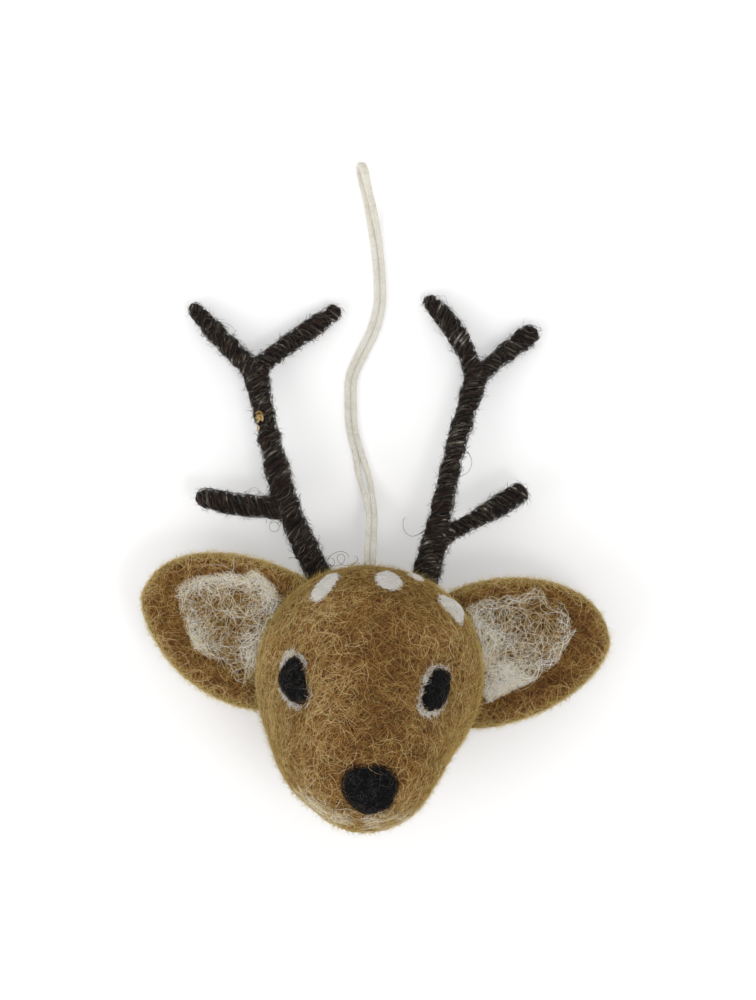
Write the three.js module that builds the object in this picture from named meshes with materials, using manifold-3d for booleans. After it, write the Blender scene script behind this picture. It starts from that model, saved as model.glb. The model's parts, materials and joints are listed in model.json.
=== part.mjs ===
// A needle-felted deer's head to hang up at Christmas, lying on its back as it would on a table.
// Millimetres: +X is to the viewer's right, +Y runs from the muzzle to the antlers, and +Z comes
// out of the face. The origin is the middle of the flat that the back of the head rests on.
import * as THREE from "three";
import { mergeVertices } from "three/addons/utils/BufferGeometryUtils.js";
import Module from "manifold-3d";

// Fits
const seatGap = 0.3; // between pieces that touch

// Head: an egg, drawn over a ball for the cranium and a smaller one for the muzzle
const craniumRadius = 24.3;
const muzzleRadius = 17.2;
const muzzleDrop = 16.2; // from the middle of the cranium to that of the muzzle, to the chin
const muzzleForward = 16.9; // the same, out of the face
const muzzleSway = -2; // the same, sideways: hand felting isn't quite true
const restDepth = 0.5; // how deep the flat is pressed into the back of the head
const feltWall = 4; // tan felt over the wool core

// Felt pads on the head, placed by degrees round the middle of the cranium: azimuth from +Z
// towards +X, elevation from there towards +Y, and spin about the pad's own middle
const nose = { azimuth: 0, elevation: -37.5, spin: 0, halfWidth: 5.9, halfHeight: 5.9, rise: 1.8 };
const chin = { azimuth: -8, elevation: -66, spin: 0, halfWidth: 12, halfHeight: 7.5, rise: 0.6 };
const eyes = {
  left: { azimuth: -39.7, elevation: -1.9, spin: 36, halfWidth: 4.4, halfHeight: 5, rise: 1.3 },
  right: { azimuth: 34.1, elevation: -5.7, spin: -34, halfWidth: 3.9, halfHeight: 4.6, rise: 1.3 },
};
const spots = {
  left: { azimuth: -43.2, elevation: 52.6, spin: 20, halfWidth: 4.2, halfHeight: 3.4, rise: 0.6 },
  middle: { azimuth: 18, elevation: 59, spin: 0, halfWidth: 2.9, halfHeight: 3.4, rise: 0.6 },
  right: { azimuth: 63.5, elevation: 36.9, spin: 0, halfWidth: 3.9, halfHeight: 4, rise: 0.6 },
  back: { azimuth: 61, elevation: 62, spin: 0, halfWidth: 2, halfHeight: 1.8, rise: 0.6 },
};
const padSquareness = 4; // how steeply a pad drops at its edge
const rimWidth = 1.3; // pale wool round each eye
const rimRise = 0.8;

// Ears: u runs out from the head, v across towards the crown, w out of the face
const ears = {
  // degrees from +X towards +Y, then sizes: from the head to the tip, how full the ear is towards
  // the crown and towards the chin, and how blunt its tip is on either side
  left: { heading: 160, length: 28, upperSwell: 17.5, lowerSwell: 21, upperTip: 14, lowerTip: 4.8 },
  right: { heading: 9, length: 28, upperSwell: 19.3, lowerSwell: 17.5, upperTip: 14.5, lowerTip: 6 },
};
const earShoulder = 6; // how far out the upper edge is fullest, and the lower edge
const earCheek = 12.5;
const earRootHalf = 14; // half the width at the root
const earThickness = 4.4;
const earSquareness = 6; // how late its thickness rounds off towards the edge
const earHollow = 11.5; // how far out the deepest part of the hollow lies
const earCup = 3.2; // how far the hollow lies behind the edge
const earSetBack = 3.8; // from the middle of the cranium back to the root
const earTilt = 6; // degrees that the tip leans back
const earRootGap = 0.7; // room for the root to flex
const liningShare = 0.72; // how far out over the ear the lining reaches, of the way to its edge
const liningRise = 0.6;

// Antlers: yarn wound on bent wire. Places are from the root, to the right and up. Height is above
// the surface that the head lies on.
const wireRadius = 0.5;
const yarnRadius = 0.85;
const turnGap = 0.55; // between neighbouring turns
const shankDepth = 15; // wire inside the head
const rootRoom = 0.8; // room for the wrap to turn with the wire over the felt
const forkHeight = 6.5;
const antlers = {
  left: {
    root: { azimuth: -125, elevation: 58 },
    brow: [-7.1, 15.7],
    middle: [-10.5, 28.2],
    fork: [-14.2, 45.1],
    browTip: { via: [-17.8, 15.3], end: [-26.6, 18.2], height: 9 },
    outerTip: { via: [-21.2, 50.9], end: [-27.9, 59.2] },
    innerTip: { via: [-7.2, 50.9], end: [4, 58.3] },
  },
  right: {
    root: { azimuth: 118.9, elevation: 56.7 },
    brow: [2.3, 8.9],
    middle: [6.7, 28.5],
    fork: [11, 43.3],
    browTip: { via: [12.4, 13.6], end: [21.6, 19.8], height: 10 },
    outerTip: { via: [16, 48.4], end: [24.2, 54] },
    innerTip: { via: [8.7, 53.5], end: [0.3, 61] },
  },
};

// Hanging loop: one cotton strand, doubled, with both ends tied in a knot inside the crown
const cordDiameter = 1.2;
const knotRadius = 2.6;
const crownAngle = 24; // degrees that the hole in the crown leans back
const loopRoute = [
  // the left strand, from the crown up to the fold
  [-0.75, 26.0, 12.1], [-0.4, 30.5, 9.2], [-0.35, 35.0, 5.6], [-1.4, 39.5, 2.5], [-2.5, 43.5, 1.0],
  [-3.2, 47.5, 0.75], [-4.5, 53.0, 0.75], [-4.85, 59.5, 0.75], [-4.5, 64.5, 0.75], [-2.4, 69.5, 0.75],
  [0.05, 74.5, 0.75], [1.4, 80.0, 0.75], [1.45, 84.5, 0.75], [1.05, 90.0, 0.75], [0.3, 95.5, 0.75],
  [-0.65, 101.0, 0.75], [-1.5, 105.0, 0.75],
  // the fold, standing on its edge
  [-1.85, 107.4, 0.8], [-2.05, 109.2, 1.5], [-1.85, 109.9, 3.15], [-1.35, 109.1, 4.85],
  [-0.85, 107.3, 5.5],
  // the right strand, back down to the crown
  [-0.1, 104.4, 5.0], [0.75, 100.8, 3.1], [1.55, 96.6, 1.3], [2.4, 90.2, 0.75], [2.8, 84.5, 0.75],
  [2.75, 79.8, 0.75], [1.35, 74.0, 0.75], [-1.15, 68.9, 0.75], [-3.2, 64.2, 0.75], [-3.5, 59.5, 0.75],
  [-3.15, 53.2, 0.75], [-1.75, 47.8, 0.75], [-0.45, 43.7, 1.0], [0.4, 39.6, 2.5], [1.0, 35.0, 5.6],
  [0.95, 30.5, 9.2], [0.75, 26.0, 12.1],
];

// How finely curves are faceted
const eggSides = 36;
const hiddenSides = 20;
const craniumShare = 0.35; // steps along the egg's profile, for each side round it
const muzzleShare = 0.2;
const padSides = 18;
const padRings = 3;
const rimSides = 6;
const earSides = 26;
const earRings = 5;
const wireSides = 6;
const wireStep = 4;
const wrapSides = 8;
const turnSteps = 8;
const yarnSides = 5;
const cordSides = 8;
const cordSteps = 78;
const knotSides = 12;

const felt = (color) => new THREE.MeshStandardMaterial({ color, roughness: 0.95, metalness: 0 });
const tanFelt = felt(0x8a6a3d);
const coreWool = felt(0xd8ccb4);
const blackWool = felt(0x1b1a1a);
const whiteWool = felt(0xd9d3c6);
const paleWool = felt(0xb6a384);
const darkYarn = felt(0x2f2a26);
const cottonCord = felt(0xd9d2c4);
const wireSteel = new THREE.MeshStandardMaterial({ color: 0x8c8f92, roughness: 0.45, metalness: 1 });

const wasm = await Module();
wasm.setup();

function solidOf(geometry) {
  const bare = geometry.clone();
  bare.deleteAttribute("normal");
  bare.deleteAttribute("uv");
  const merged = mergeVertices(bare, 1e-4);
  const vertProperties = new Float32Array(merged.attributes.position.array);
  const triVerts = new Uint32Array(merged.index.array);
  return new wasm.Manifold(new wasm.Mesh({ numProp: 3, vertProperties, triVerts }));
}

function geometryOf(solid) {
  const { vertProperties, triVerts } = solid.getMesh();
  const geometry = new THREE.BufferGeometry();
  geometry.setAttribute("position", new THREE.BufferAttribute(vertProperties, 3));
  geometry.setIndex(new THREE.BufferAttribute(triVerts, 1));
  geometry.computeVertexNormals();
  return geometry;
}

const ornament = new THREE.Group();

function addPiece(name, geometry, material) {
  const piece = new THREE.Mesh(geometry, material);
  piece.name = name;
  ornament.add(piece);
}

const radians = THREE.MathUtils.degToRad;
const point = (x, y, z) => new THREE.Vector3(x, y, z);

// The egg's two balls, and the cone that touches both
const craniumMiddle = point(0, 0, craniumRadius - restDepth);
const muzzleMiddle = point(muzzleSway, -muzzleDrop, craniumMiddle.z + muzzleForward);
const headReach = craniumMiddle.distanceTo(muzzleMiddle);
const headAxis = muzzleMiddle.clone().sub(craniumMiddle).normalize();
const coneAngle = Math.asin((craniumRadius - muzzleRadius) / headReach);

// Distance of a point from the head's surface, negative inside
function headDistance(place) {
  const from = place.clone().sub(craniumMiddle);
  const along = from.dot(headAxis);
  const out = Math.sqrt(Math.max(from.lengthSq() - along * along, 0));
  const downCone = along * Math.cos(coneAngle) - out * Math.sin(coneAngle);
  if (downCone < 0) return Math.hypot(out, along) - craniumRadius;
  const coneLength = headReach * Math.cos(coneAngle);
  if (downCone > coneLength) return Math.hypot(out, along - headReach) - muzzleRadius;
  return out * Math.cos(coneAngle) + along * Math.sin(coneAngle) - craniumRadius;
}

function headNormal(place) {
  const step = 0.01;
  const slope = (axis) => {
    const ahead = place.clone().addScaledVector(axis, step);
    const behind = place.clone().addScaledVector(axis, -step);
    return headDistance(ahead) - headDistance(behind);
  };
  return point(slope(point(1, 0, 0)), slope(point(0, 1, 0)), slope(point(0, 0, 1))).normalize();
}

// Where a ray meets the head's surface, with one end of the ray inside it and one outside
function meetHead(start, direction, reach) {
  const inside = headDistance(start) < 0;
  let [near, far] = [0, reach];
  for (let halving = 0; halving < 40; halving++) {
    const middle = (near + far) / 2;
    const same = headDistance(start.clone().addScaledVector(direction, middle)) < 0 === inside;
    if (same) near = middle;
    else far = middle;
  }
  return start.clone().addScaledVector(direction, near);
}

function onHead({ azimuth, elevation }) {
  const level = Math.cos(radians(elevation));
  const direction = point(
    level * Math.sin(radians(azimuth)),
    Math.sin(radians(elevation)),
    level * Math.cos(radians(azimuth)),
  );
  return meetHead(craniumMiddle, direction, 2 * (headReach + craniumRadius));
}

// The egg as a turned solid, smaller by an inset
function eggSolid(inset, sides) {
  const arc = (radius, along, from, to, steps) =>
    Array.from({ length: steps + 1 }, (_, i) => {
      const turn = from + ((to - from) * i) / steps;
      return new THREE.Vector2(Math.max(radius * Math.cos(turn), 0), along + radius * Math.sin(turn));
    });
  const quarter = Math.PI / 2;
  const profile = [
    ...arc(craniumRadius - inset, 0, -quarter, coneAngle, Math.round(sides * craniumShare)),
    ...arc(muzzleRadius - inset, headReach, coneAngle, quarter, Math.round(sides * muzzleShare)),
  ];
  const egg = new THREE.LatheGeometry(profile, sides);
  egg.applyQuaternion(new THREE.Quaternion().setFromUnitVectors(point(0, 1, 0), headAxis));
  egg.translate(craniumMiddle.x, craniumMiddle.y, craniumMiddle.z);
  return solidOf(egg);
}

// A closed lens of rings from a top pole over its edge to a bottom pole: place takes how far out a
// ring lies, from 0 to 1, the turn round it, and the face, 1 above and -1 below
function lens(rings, sides, place) {
  const corners = [];
  const addRing = (ring, face) => {
    const reach = Math.sin(((ring / rings) * Math.PI) / 2);
    for (let side = 0; side < sides; side++) {
      corners.push(place(reach, (side / sides) * 2 * Math.PI, face));
    }
  };
  corners.push(place(0, 0, 1));
  for (let ring = 1; ring <= rings; ring++) addRing(ring, 1);
  for (let ring = rings - 1; ring > 0; ring--) addRing(ring, -1);
  corners.push(place(0, 0, -1));
  const faces = [];
  const ringCount = 2 * rings - 1;
  const last = corners.length - 1;
  for (let side = 0; side < sides; side++) {
    const next = (side + 1) % sides;
    faces.push(0, 1 + side, 1 + next);
    for (let ring = 0; ring < ringCount - 1; ring++) {
      const [inner, outer] = [1 + ring * sides, 1 + (ring + 1) * sides];
      faces.push(inner + side, outer + side, outer + next, inner + side, outer + next, inner + next);
    }
    const rim = 1 + (ringCount - 1) * sides;
    faces.push(rim + side, last, rim + next);
  }
  return new THREE.BufferGeometry().setFromPoints(corners).setIndex(faces);
}

// A pad's own directions on the head: across it, up it and out of the felt
function padFrame({ azimuth, elevation, spin }) {
  const middle = onHead({ azimuth, elevation });
  const out = headNormal(middle);
  const across = point(1, 0, 0).projectOnPlane(out).normalize();
  across.applyAxisAngle(out, radians(spin));
  const up = out.clone().cross(across);
  return { middle, out, across, up };
}

function overHead(frame, right, up, rise) {
  const above = frame.middle.clone().addScaledVector(frame.out, seatGap);
  above.addScaledVector(frame.across, right).addScaledVector(frame.up, up);
  const foot = meetHead(above, frame.out.clone().negate(), craniumRadius);
  return foot.addScaledVector(headNormal(foot), rise);
}

function headPad(pad) {
  const frame = padFrame(pad);
  return lens(padRings, padSides, (reach, turn, face) => {
    const right = reach * pad.halfWidth * Math.cos(turn);
    const up = reach * pad.halfHeight * Math.sin(turn);
    const rise = face > 0 ? pad.rise * (1 - reach ** padSquareness) : 0;
    return overHead(frame, right, up, seatGap + rise);
  });
}

// A closed ring of felt round an eye
function eyeRim(eye) {
  const frame = padFrame(eye);
  const corners = [];
  const faces = [];
  for (let side = 0; side < padSides; side++) {
    const turn = (side / padSides) * 2 * Math.PI;
    for (let k = 0; k < rimSides; k++) {
      const lean = (k / rimSides) * 2 * Math.PI;
      const out = seatGap + (rimWidth / 2) * (1 + Math.cos(lean));
      const right = (eye.halfWidth + out) * Math.cos(turn);
      const up = (eye.halfHeight + out) * Math.sin(turn);
      corners.push(overHead(frame, right, up, seatGap + (rimRise / 2) * (1 + Math.sin(lean))));
      const [here, next] = [side * rimSides, ((side + 1) % padSides) * rimSides];
      const after = (k + 1) % rimSides;
      faces.push(here + k, next + k, next + after, here + k, next + after, here + after);
    }
  }
  return new THREE.BufferGeometry().setFromPoints(corners).setIndex(faces);
}

// A round tube along a path, closed at both ends
function tube(path, radius, sides, steps) {
  const section = new THREE.Shape();
  for (let side = 0; side < sides; side++) {
    const turn = (side / sides) * 2 * Math.PI;
    const [x, y] = [radius * Math.cos(turn), radius * Math.sin(turn)];
    if (side === 0) section.moveTo(x, y);
    else section.lineTo(x, y);
  }
  section.closePath();
  return new THREE.ExtrudeGeometry(section, { steps, extrudePath: path, bevelEnabled: false });
}

const straight = (from, to) => new THREE.LineCurve3(from, to);

// Part of a path, from one length along it to another, running straight on past the path's ends
class Stretch extends THREE.Curve {
  constructor(path, from, to) {
    super();
    Object.assign(this, { path, from, to });
  }
  getPoint(share, target = new THREE.Vector3()) {
    const along = this.from + (this.to - this.from) * share;
    const length = this.path.getLength();
    const within = THREE.MathUtils.clamp(along, 0, length);
    this.path.getPointAt(within / length, target);
    return target.addScaledVector(this.path.getTangentAt(within / length), along - within);
  }
}

// Head, bored for the antlers' wires and for the loop
const crownDirection = point(0, Math.cos(radians(crownAngle)), -Math.sin(radians(crownAngle)));
const fromMiddle = (distance) => craniumMiddle.clone().addScaledVector(crownDirection, distance);
const strandPitch = cordDiameter + seatGap;
const crownHoleRadius = strandPitch / 2 + cordDiameter / 2 + seatGap;
const knotMiddle = fromMiddle(craniumRadius - feltWall - seatGap - knotRadius);

function antlerPaths({ root, brow, middle, fork, browTip, outerTip, innerTip }) {
  const rootPoint = onHead(root);
  const tipHeight = wireRadius + 2 * (seatGap + yarnRadius);
  const heightAt = ([, up]) => rootPoint.z + ((forkHeight - rootPoint.z) * up) / fork[1];
  const at = ([right, up], height) => point(rootPoint.x + right, rootPoint.y + up, height);
  const browPoint = at(brow, heightAt(brow));
  const forkPoint = at(fork, forkHeight);
  const beam = new THREE.CatmullRomCurve3([rootPoint, browPoint, at(middle, heightAt(middle)), forkPoint]);
  const tine = (start, tip, height) =>
    new THREE.QuadraticBezierCurve3(start, at(tip.via, (start.z + height) / 2), at(tip.end, height));
  return {
    beam,
    browLength: lengthNearest(beam, browPoint),
    browTine: tine(browPoint, browTip, browTip.height),
    outerTine: tine(forkPoint, outerTip, tipHeight),
    innerTine: tine(forkPoint, innerTip, tipHeight),
  };
}

function lengthNearest(path, place) {
  const steps = 400;
  const distanceAt = (step) => path.getPointAt(step / steps).distanceTo(place);
  let best = 0;
  for (let step = 1; step <= steps; step++) {
    if (distanceAt(step) < distanceAt(best)) best = step;
  }
  return (path.getLength() * best) / steps;
}

const paths = { left: antlerPaths(antlers.left), right: antlerPaths(antlers.right) };
const shankEnds = ({ beam }) => {
  const root = beam.getPointAt(0);
  const inward = beam.getTangentAt(0).negate();
  const at = (depth) => root.clone().addScaledVector(inward, depth);
  return (near, far) => straight(at(near), at(far));
};

let headShell = eggSolid(0, eggSides).subtract(eggSolid(feltWall, hiddenSides));
let headCore = eggSolid(feltWall + seatGap, hiddenSides);
const tableTop = new THREE.BoxGeometry(4 * craniumRadius, 4 * craniumRadius, craniumRadius);
headShell = headShell.subtract(solidOf(tableTop.translate(0, 0, -craniumRadius / 2)));
const crownHole = straight(knotMiddle, fromMiddle(craniumRadius + feltWall));
headShell = headShell.subtract(solidOf(tube(crownHole, crownHoleRadius, wrapSides, 1)));
const pocket = new THREE.SphereGeometry(knotRadius + seatGap, knotSides, knotSides / 2);
headCore = headCore.subtract(solidOf(pocket.translate(knotMiddle.x, knotMiddle.y, knotMiddle.z)));
for (const side of ["left", "right"]) {
  const bore = shankEnds(paths[side])(-feltWall, shankDepth + seatGap);
  const boreSolid = solidOf(tube(bore, wireRadius + seatGap, wireSides, 1));
  headShell = headShell.subtract(boreSolid);
  headCore = headCore.subtract(boreSolid);
}
addPiece("head_core", geometryOf(headCore), coreWool);
addPiece("head_felt", geometryOf(headShell), tanFelt);
addPiece("nose", headPad(nose), blackWool);
addPiece("chin_patch", headPad(chin), paleWool);
for (const [side, eye] of Object.entries(eyes)) {
  addPiece(`${side}_eye`, headPad(eye), blackWool);
  addPiece(`${side}_eye_rim`, eyeRim(eye), whiteWool);
}
for (const [place, spot] of Object.entries(spots)) addPiece(`${place}_spot`, headPad(spot), whiteWool);

// Ears: cupped flaps cut to the head's curve, with a thin lining inside each
function earOutline({ length, upperSwell, lowerSwell, upperTip, lowerTip }) {
  const root = -earRootHalf / 2;
  const outline = new THREE.Shape();
  outline.moveTo(root, -earRootHalf);
  outline.bezierCurveTo(earCheek, -lowerSwell, length, -lowerTip, length, 0);
  outline.bezierCurveTo(length, upperTip, earShoulder, upperSwell, root, earRootHalf);
  outline.closePath();
  return outline.getSpacedPoints(earSides).slice(0, earSides);
}

function makeEar(side) {
  const heading = radians(ears[side].heading);
  const tilt = radians(earTilt);
  const flip = side === "left" ? -1 : 1;
  const level = point(Math.cos(heading), Math.sin(heading), 0);
  const along = level.clone().multiplyScalar(Math.cos(tilt)).setZ(-Math.sin(tilt));
  const across = point(-Math.sin(heading), Math.cos(heading), 0);
  const out = along.clone().cross(across);
  const rootRadius = Math.sqrt(craniumRadius ** 2 - earSetBack ** 2);
  const root = craniumMiddle.clone().addScaledVector(level, rootRadius);
  root.z -= earSetBack;
  const outline = earOutline(ears[side]);
  if (flip < 0) outline.reverse();
  const middle = new THREE.Vector2(earHollow, 0);
  const place = (reach, turn, rise) => {
    const edge = outline[Math.round((turn / (2 * Math.PI)) * earSides) % earSides].clone();
    edge.y *= flip;
    const flat = middle.clone().lerp(edge, reach);
    const spot = root.clone().addScaledVector(along, flat.x).addScaledVector(across, flat.y);
    return spot.addScaledVector(out, rise);
  };
  const cupped = (reach) => earCup * (reach ** 2 - 1);
  const half = (reach) => (earThickness / 2) * Math.sqrt(1 - Math.min(reach, 1) ** earSquareness);
  const ear = lens(earRings, earSides, (reach, turn, face) =>
    place(reach, turn, cupped(reach) + face * half(reach)),
  );
  const lining = lens(padRings + 1, earSides, (share, turn, face) => {
    const reach = share * liningShare;
    const front = cupped(reach) + half(reach) + seatGap;
    return place(reach, turn, front + (face > 0 ? liningRise * (1 - share ** padSquareness) : 0));
  });
  const room = eggSolid(-earRootGap, eggSides);
  addPiece(`${side}_ear`, geometryOf(solidOf(ear).subtract(room)), tanFelt);
  addPiece(`${side}_ear_lining`, geometryOf(solidOf(lining).subtract(room)), paleWool);
}
makeEar("left");
makeEar("right");

// Antlers: wires, yarn wound on each limb, and yarn crossed over where limbs meet
const coilRadius = wireRadius + seatGap + yarnRadius;
const wrapRadius = coilRadius + yarnRadius;
const pitch = 2 * yarnRadius + turnGap;
let leastGap = Infinity;

// One unbroken yarn wound round a path, between two lengths along it
function winding(path, from, to) {
  const steps = Math.floor(((to - from) / pitch) * turnSteps);
  const length = path.getLength();
  const centres = [];
  const outward = [];
  for (let step = 0; step <= steps; step++) {
    const share = (from + (pitch * step) / turnSteps) / length;
    const tangent = path.getTangentAt(share);
    const level = point(0, 0, 1).cross(tangent).normalize();
    const rising = tangent.clone().cross(level);
    const turn = (step / turnSteps) * 2 * Math.PI;
    const radial = level.multiplyScalar(Math.cos(turn)).addScaledVector(rising, Math.sin(turn));
    outward.push(radial);
    centres.push(path.getPointAt(share).addScaledVector(radial, coilRadius));
  }
  centres.forEach((centre, i) => {
    for (const other of centres.slice(i + turnSteps / 2)) {
      leastGap = Math.min(leastGap, centre.distanceTo(other) - 2 * yarnRadius);
    }
  });
  return yarnTube(centres, outward);
}

function yarnTube(centres, outward) {
  const corners = [];
  const faces = [];
  const last = centres.length - 1;
  centres.forEach((centre, i) => {
    const run = centres[Math.min(i + 1, last)].clone().sub(centres[Math.max(i - 1, 0)]).normalize();
    const radial = outward[i].clone().projectOnPlane(run).normalize();
    const beside = run.clone().cross(radial);
    for (let side = 0; side < yarnSides; side++) {
      const turn = (side / yarnSides) * 2 * Math.PI;
      const corner = centre.clone().addScaledVector(radial, yarnRadius * Math.cos(turn));
      corners.push(corner.addScaledVector(beside, yarnRadius * Math.sin(turn)));
      if (i === last) continue;
      const next = (side + 1) % yarnSides;
      const [here, ahead] = [i * yarnSides, (i + 1) * yarnSides];
      faces.push(here + side, here + next, ahead + next, here + side, ahead + next, ahead + side);
    }
  });
  for (let side = 1; side < yarnSides - 1; side++) {
    faces.push(0, side + 1, side);
    faces.push(last * yarnSides, last * yarnSides + side, last * yarnSides + side + 1);
  }
  return new THREE.BufferGeometry().setFromPoints(corners).setIndex(faces);
}

// How far from a meeting point two round limbs come clear of each other
const clearOf = (radius, angle) => (radius + seatGap / 2) / Math.tan(angle / 2);

// The limbs that meet at a place, each with the lengths at which its wire and its wrap come clear
function meeting(limbs) {
  for (const limb of limbs) {
    const others = limbs.filter((other) => other !== limb);
    const angles = others.map((other) => limb.heading.angleTo(other.heading));
    limb.arm = Math.max(...angles.map((angle) => clearOf(wrapRadius, angle)), wrapRadius);
    limb.bare = Math.max(...angles.map((angle) => clearOf(wireRadius, angle)), seatGap / 2);
  }
  return limbs;
}

// Yarn crossed over a meeting place: a sleeve on each run of wire, bored for the wire
function crotch(runs) {
  const sleeve = (run, radius, sides, extra) => solidOf(tube(run(extra), radius, sides, 2));
  const sleeves = runs.map((run) => sleeve(run, wrapRadius, wrapSides, 0));
  const bores = runs.map((run) => sleeve(run, wireRadius + seatGap, wireSides, yarnRadius));
  const wrap = sleeves.reduce((sum, next) => sum.add(next));
  return geometryOf(bores.reduce((rest, bore) => rest.subtract(bore), wrap));
}

const outFrom = (path, at) => ({
  heading: path.getTangentAt(at / path.getLength()),
  stretch: (near, far) => new Stretch(path, at + near, at + far),
});
const backFrom = (path, at) => ({
  heading: path.getTangentAt(at / path.getLength()).negate(),
  stretch: (near, far) => new Stretch(path, at - near, at - far),
});

function makeAntler(side) {
  const { beam, browLength, browTine, outerTine, innerTine } = paths[side];
  const beamLength = beam.getLength();
  const browLimbs = [backFrom(beam, browLength), outFrom(beam, browLength), outFrom(browTine, 0)];
  const forkLimbs = [backFrom(beam, beamLength), outFrom(outerTine, 0), outFrom(innerTine, 0)];
  const [lower, upper, brow] = meeting(browLimbs);
  const [top, outer, inner] = meeting(forkLimbs);
  const addWire = (name, path, from, to) => {
    const steps = Math.ceil((to - from) / wireStep);
    const wire = tube(new Stretch(path, from, to), wireRadius, wireSides, steps);
    addPiece(`${side}_${name}`, wire, wireSteel);
  };
  const wrapStart = seatGap + yarnRadius;
  const addWrap = (name, path, from, to) => addPiece(`${side}_${name}`, winding(path, from, to), darkYarn);
  const addTine = (name, path, limb) => {
    const length = path.getLength();
    addWire(`${name}_wire`, path, limb.bare, length - yarnRadius);
    addWrap(`${name}_wrap`, path, limb.arm + wrapStart, length);
  };
  const shank = shankEnds(paths[side])(seatGap / 2, shankDepth);
  addPiece(`${side}_antler_shank`, tube(shank, wireRadius, wireSides, 1), wireSteel);
  addWire("beam_wire", beam, seatGap / 2, beamLength - top.bare);
  addWrap("lower_beam_wrap", beam, rootRoom + yarnRadius, browLength - lower.arm - wrapStart);
  addWrap("upper_beam_wrap", beam, browLength + upper.arm + wrapStart, beamLength - top.arm - wrapStart);
  addTine("brow_tine", browTine, brow);
  addTine("outer_tine", outerTine, outer);
  addTine("inner_tine", innerTine, inner);
  const browRuns = [
    (extra) => new Stretch(beam, browLength - lower.arm - extra, browLength + upper.arm + extra),
    (extra) => brow.stretch(0, brow.arm + extra),
  ];
  const forkRuns = forkLimbs.map(
    (limb) => (extra) => limb.stretch(-wrapRadius / 2, limb.arm + extra),
  );
  addPiece(`${side}_brow_crotch_wrap`, crotch(browRuns), darkYarn);
  addPiece(`${side}_fork_crotch_wrap`, crotch(forkRuns), darkYarn);
}
makeAntler("left");
makeAntler("right");
console.log(`least gap of a winding to itself: ${leastGap.toFixed(2)} mm`);

// Hanging loop and its knot
const strandEnd = (side) => {
  const end = fromMiddle(craniumRadius - feltWall);
  end.x += (side * strandPitch) / 2;
  return end;
};
const loopPath = new THREE.CatmullRomCurve3([
  strandEnd(-1),
  ...loopRoute.map(([x, y, z]) => point(x, y, z)),
  strandEnd(1),
]);
addPiece("hanging_loop", tube(loopPath, cordDiameter / 2, cordSides, cordSteps), cottonCord);
const knot = new THREE.SphereGeometry(knotRadius, knotSides, knotSides / 2);
addPiece("loop_knot", knot.translate(knotMiddle.x, knotMiddle.y, knotMiddle.z), cottonCord);

export default ornament;
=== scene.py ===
import json
import math

import bpy
import numpy as np
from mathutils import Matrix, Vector, noise


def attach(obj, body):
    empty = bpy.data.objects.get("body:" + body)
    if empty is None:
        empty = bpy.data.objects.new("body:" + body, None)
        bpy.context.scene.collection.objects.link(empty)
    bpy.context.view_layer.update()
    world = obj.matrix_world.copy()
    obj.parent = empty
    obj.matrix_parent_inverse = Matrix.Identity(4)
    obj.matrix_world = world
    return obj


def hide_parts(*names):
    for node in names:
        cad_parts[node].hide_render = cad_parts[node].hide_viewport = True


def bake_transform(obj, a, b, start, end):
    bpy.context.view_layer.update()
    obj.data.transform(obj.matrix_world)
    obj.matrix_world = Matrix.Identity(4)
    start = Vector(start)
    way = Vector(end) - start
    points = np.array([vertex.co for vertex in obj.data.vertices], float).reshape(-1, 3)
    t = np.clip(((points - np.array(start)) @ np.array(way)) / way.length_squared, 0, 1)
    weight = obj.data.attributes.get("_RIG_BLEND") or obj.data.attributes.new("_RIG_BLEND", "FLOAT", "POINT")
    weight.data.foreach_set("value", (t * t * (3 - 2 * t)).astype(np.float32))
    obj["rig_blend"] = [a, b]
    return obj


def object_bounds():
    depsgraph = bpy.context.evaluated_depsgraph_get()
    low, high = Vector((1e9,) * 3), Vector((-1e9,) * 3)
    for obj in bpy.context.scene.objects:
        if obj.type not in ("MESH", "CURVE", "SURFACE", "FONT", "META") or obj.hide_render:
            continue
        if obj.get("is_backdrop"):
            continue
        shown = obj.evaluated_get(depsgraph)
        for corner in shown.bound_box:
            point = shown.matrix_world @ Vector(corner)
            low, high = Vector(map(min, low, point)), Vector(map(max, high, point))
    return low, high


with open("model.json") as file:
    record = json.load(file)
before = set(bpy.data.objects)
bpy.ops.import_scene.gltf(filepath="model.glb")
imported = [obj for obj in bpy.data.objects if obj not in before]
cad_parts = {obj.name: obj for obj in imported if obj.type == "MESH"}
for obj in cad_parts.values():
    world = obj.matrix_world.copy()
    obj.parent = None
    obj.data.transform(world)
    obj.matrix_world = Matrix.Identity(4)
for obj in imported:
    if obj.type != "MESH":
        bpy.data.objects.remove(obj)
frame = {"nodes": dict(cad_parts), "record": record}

cad_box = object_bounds()
scene = bpy.context.scene

# The camera looks straight down at the ornament, which lies on its back, through a long lens. The
# table is white. A broad soft light comes over it from the left and the chin's side, and a smaller
# one from the right.
mm = 0.001
view_distance, view_height = 6.0, 214.6 * mm
camera_data = bpy.data.cameras.new("camera")
camera_data.sensor_fit, camera_data.sensor_height = "VERTICAL", 24
camera_data.lens = camera_data.sensor_height * view_distance / view_height
camera_data.clip_end = 20
camera = bpy.data.objects.new("camera", camera_data)
camera.location = (1.72 * mm, 37.77 * mm, 24 * mm + view_distance)
scene.collection.objects.link(camera)
scene.camera = camera


def sign(operation):
    """An operator on sockets, and its reflected form."""
    return (lambda a, b: a.nodes.work(operation, a, b)), (lambda a, b: a.nodes.work(operation, b, a))


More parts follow.
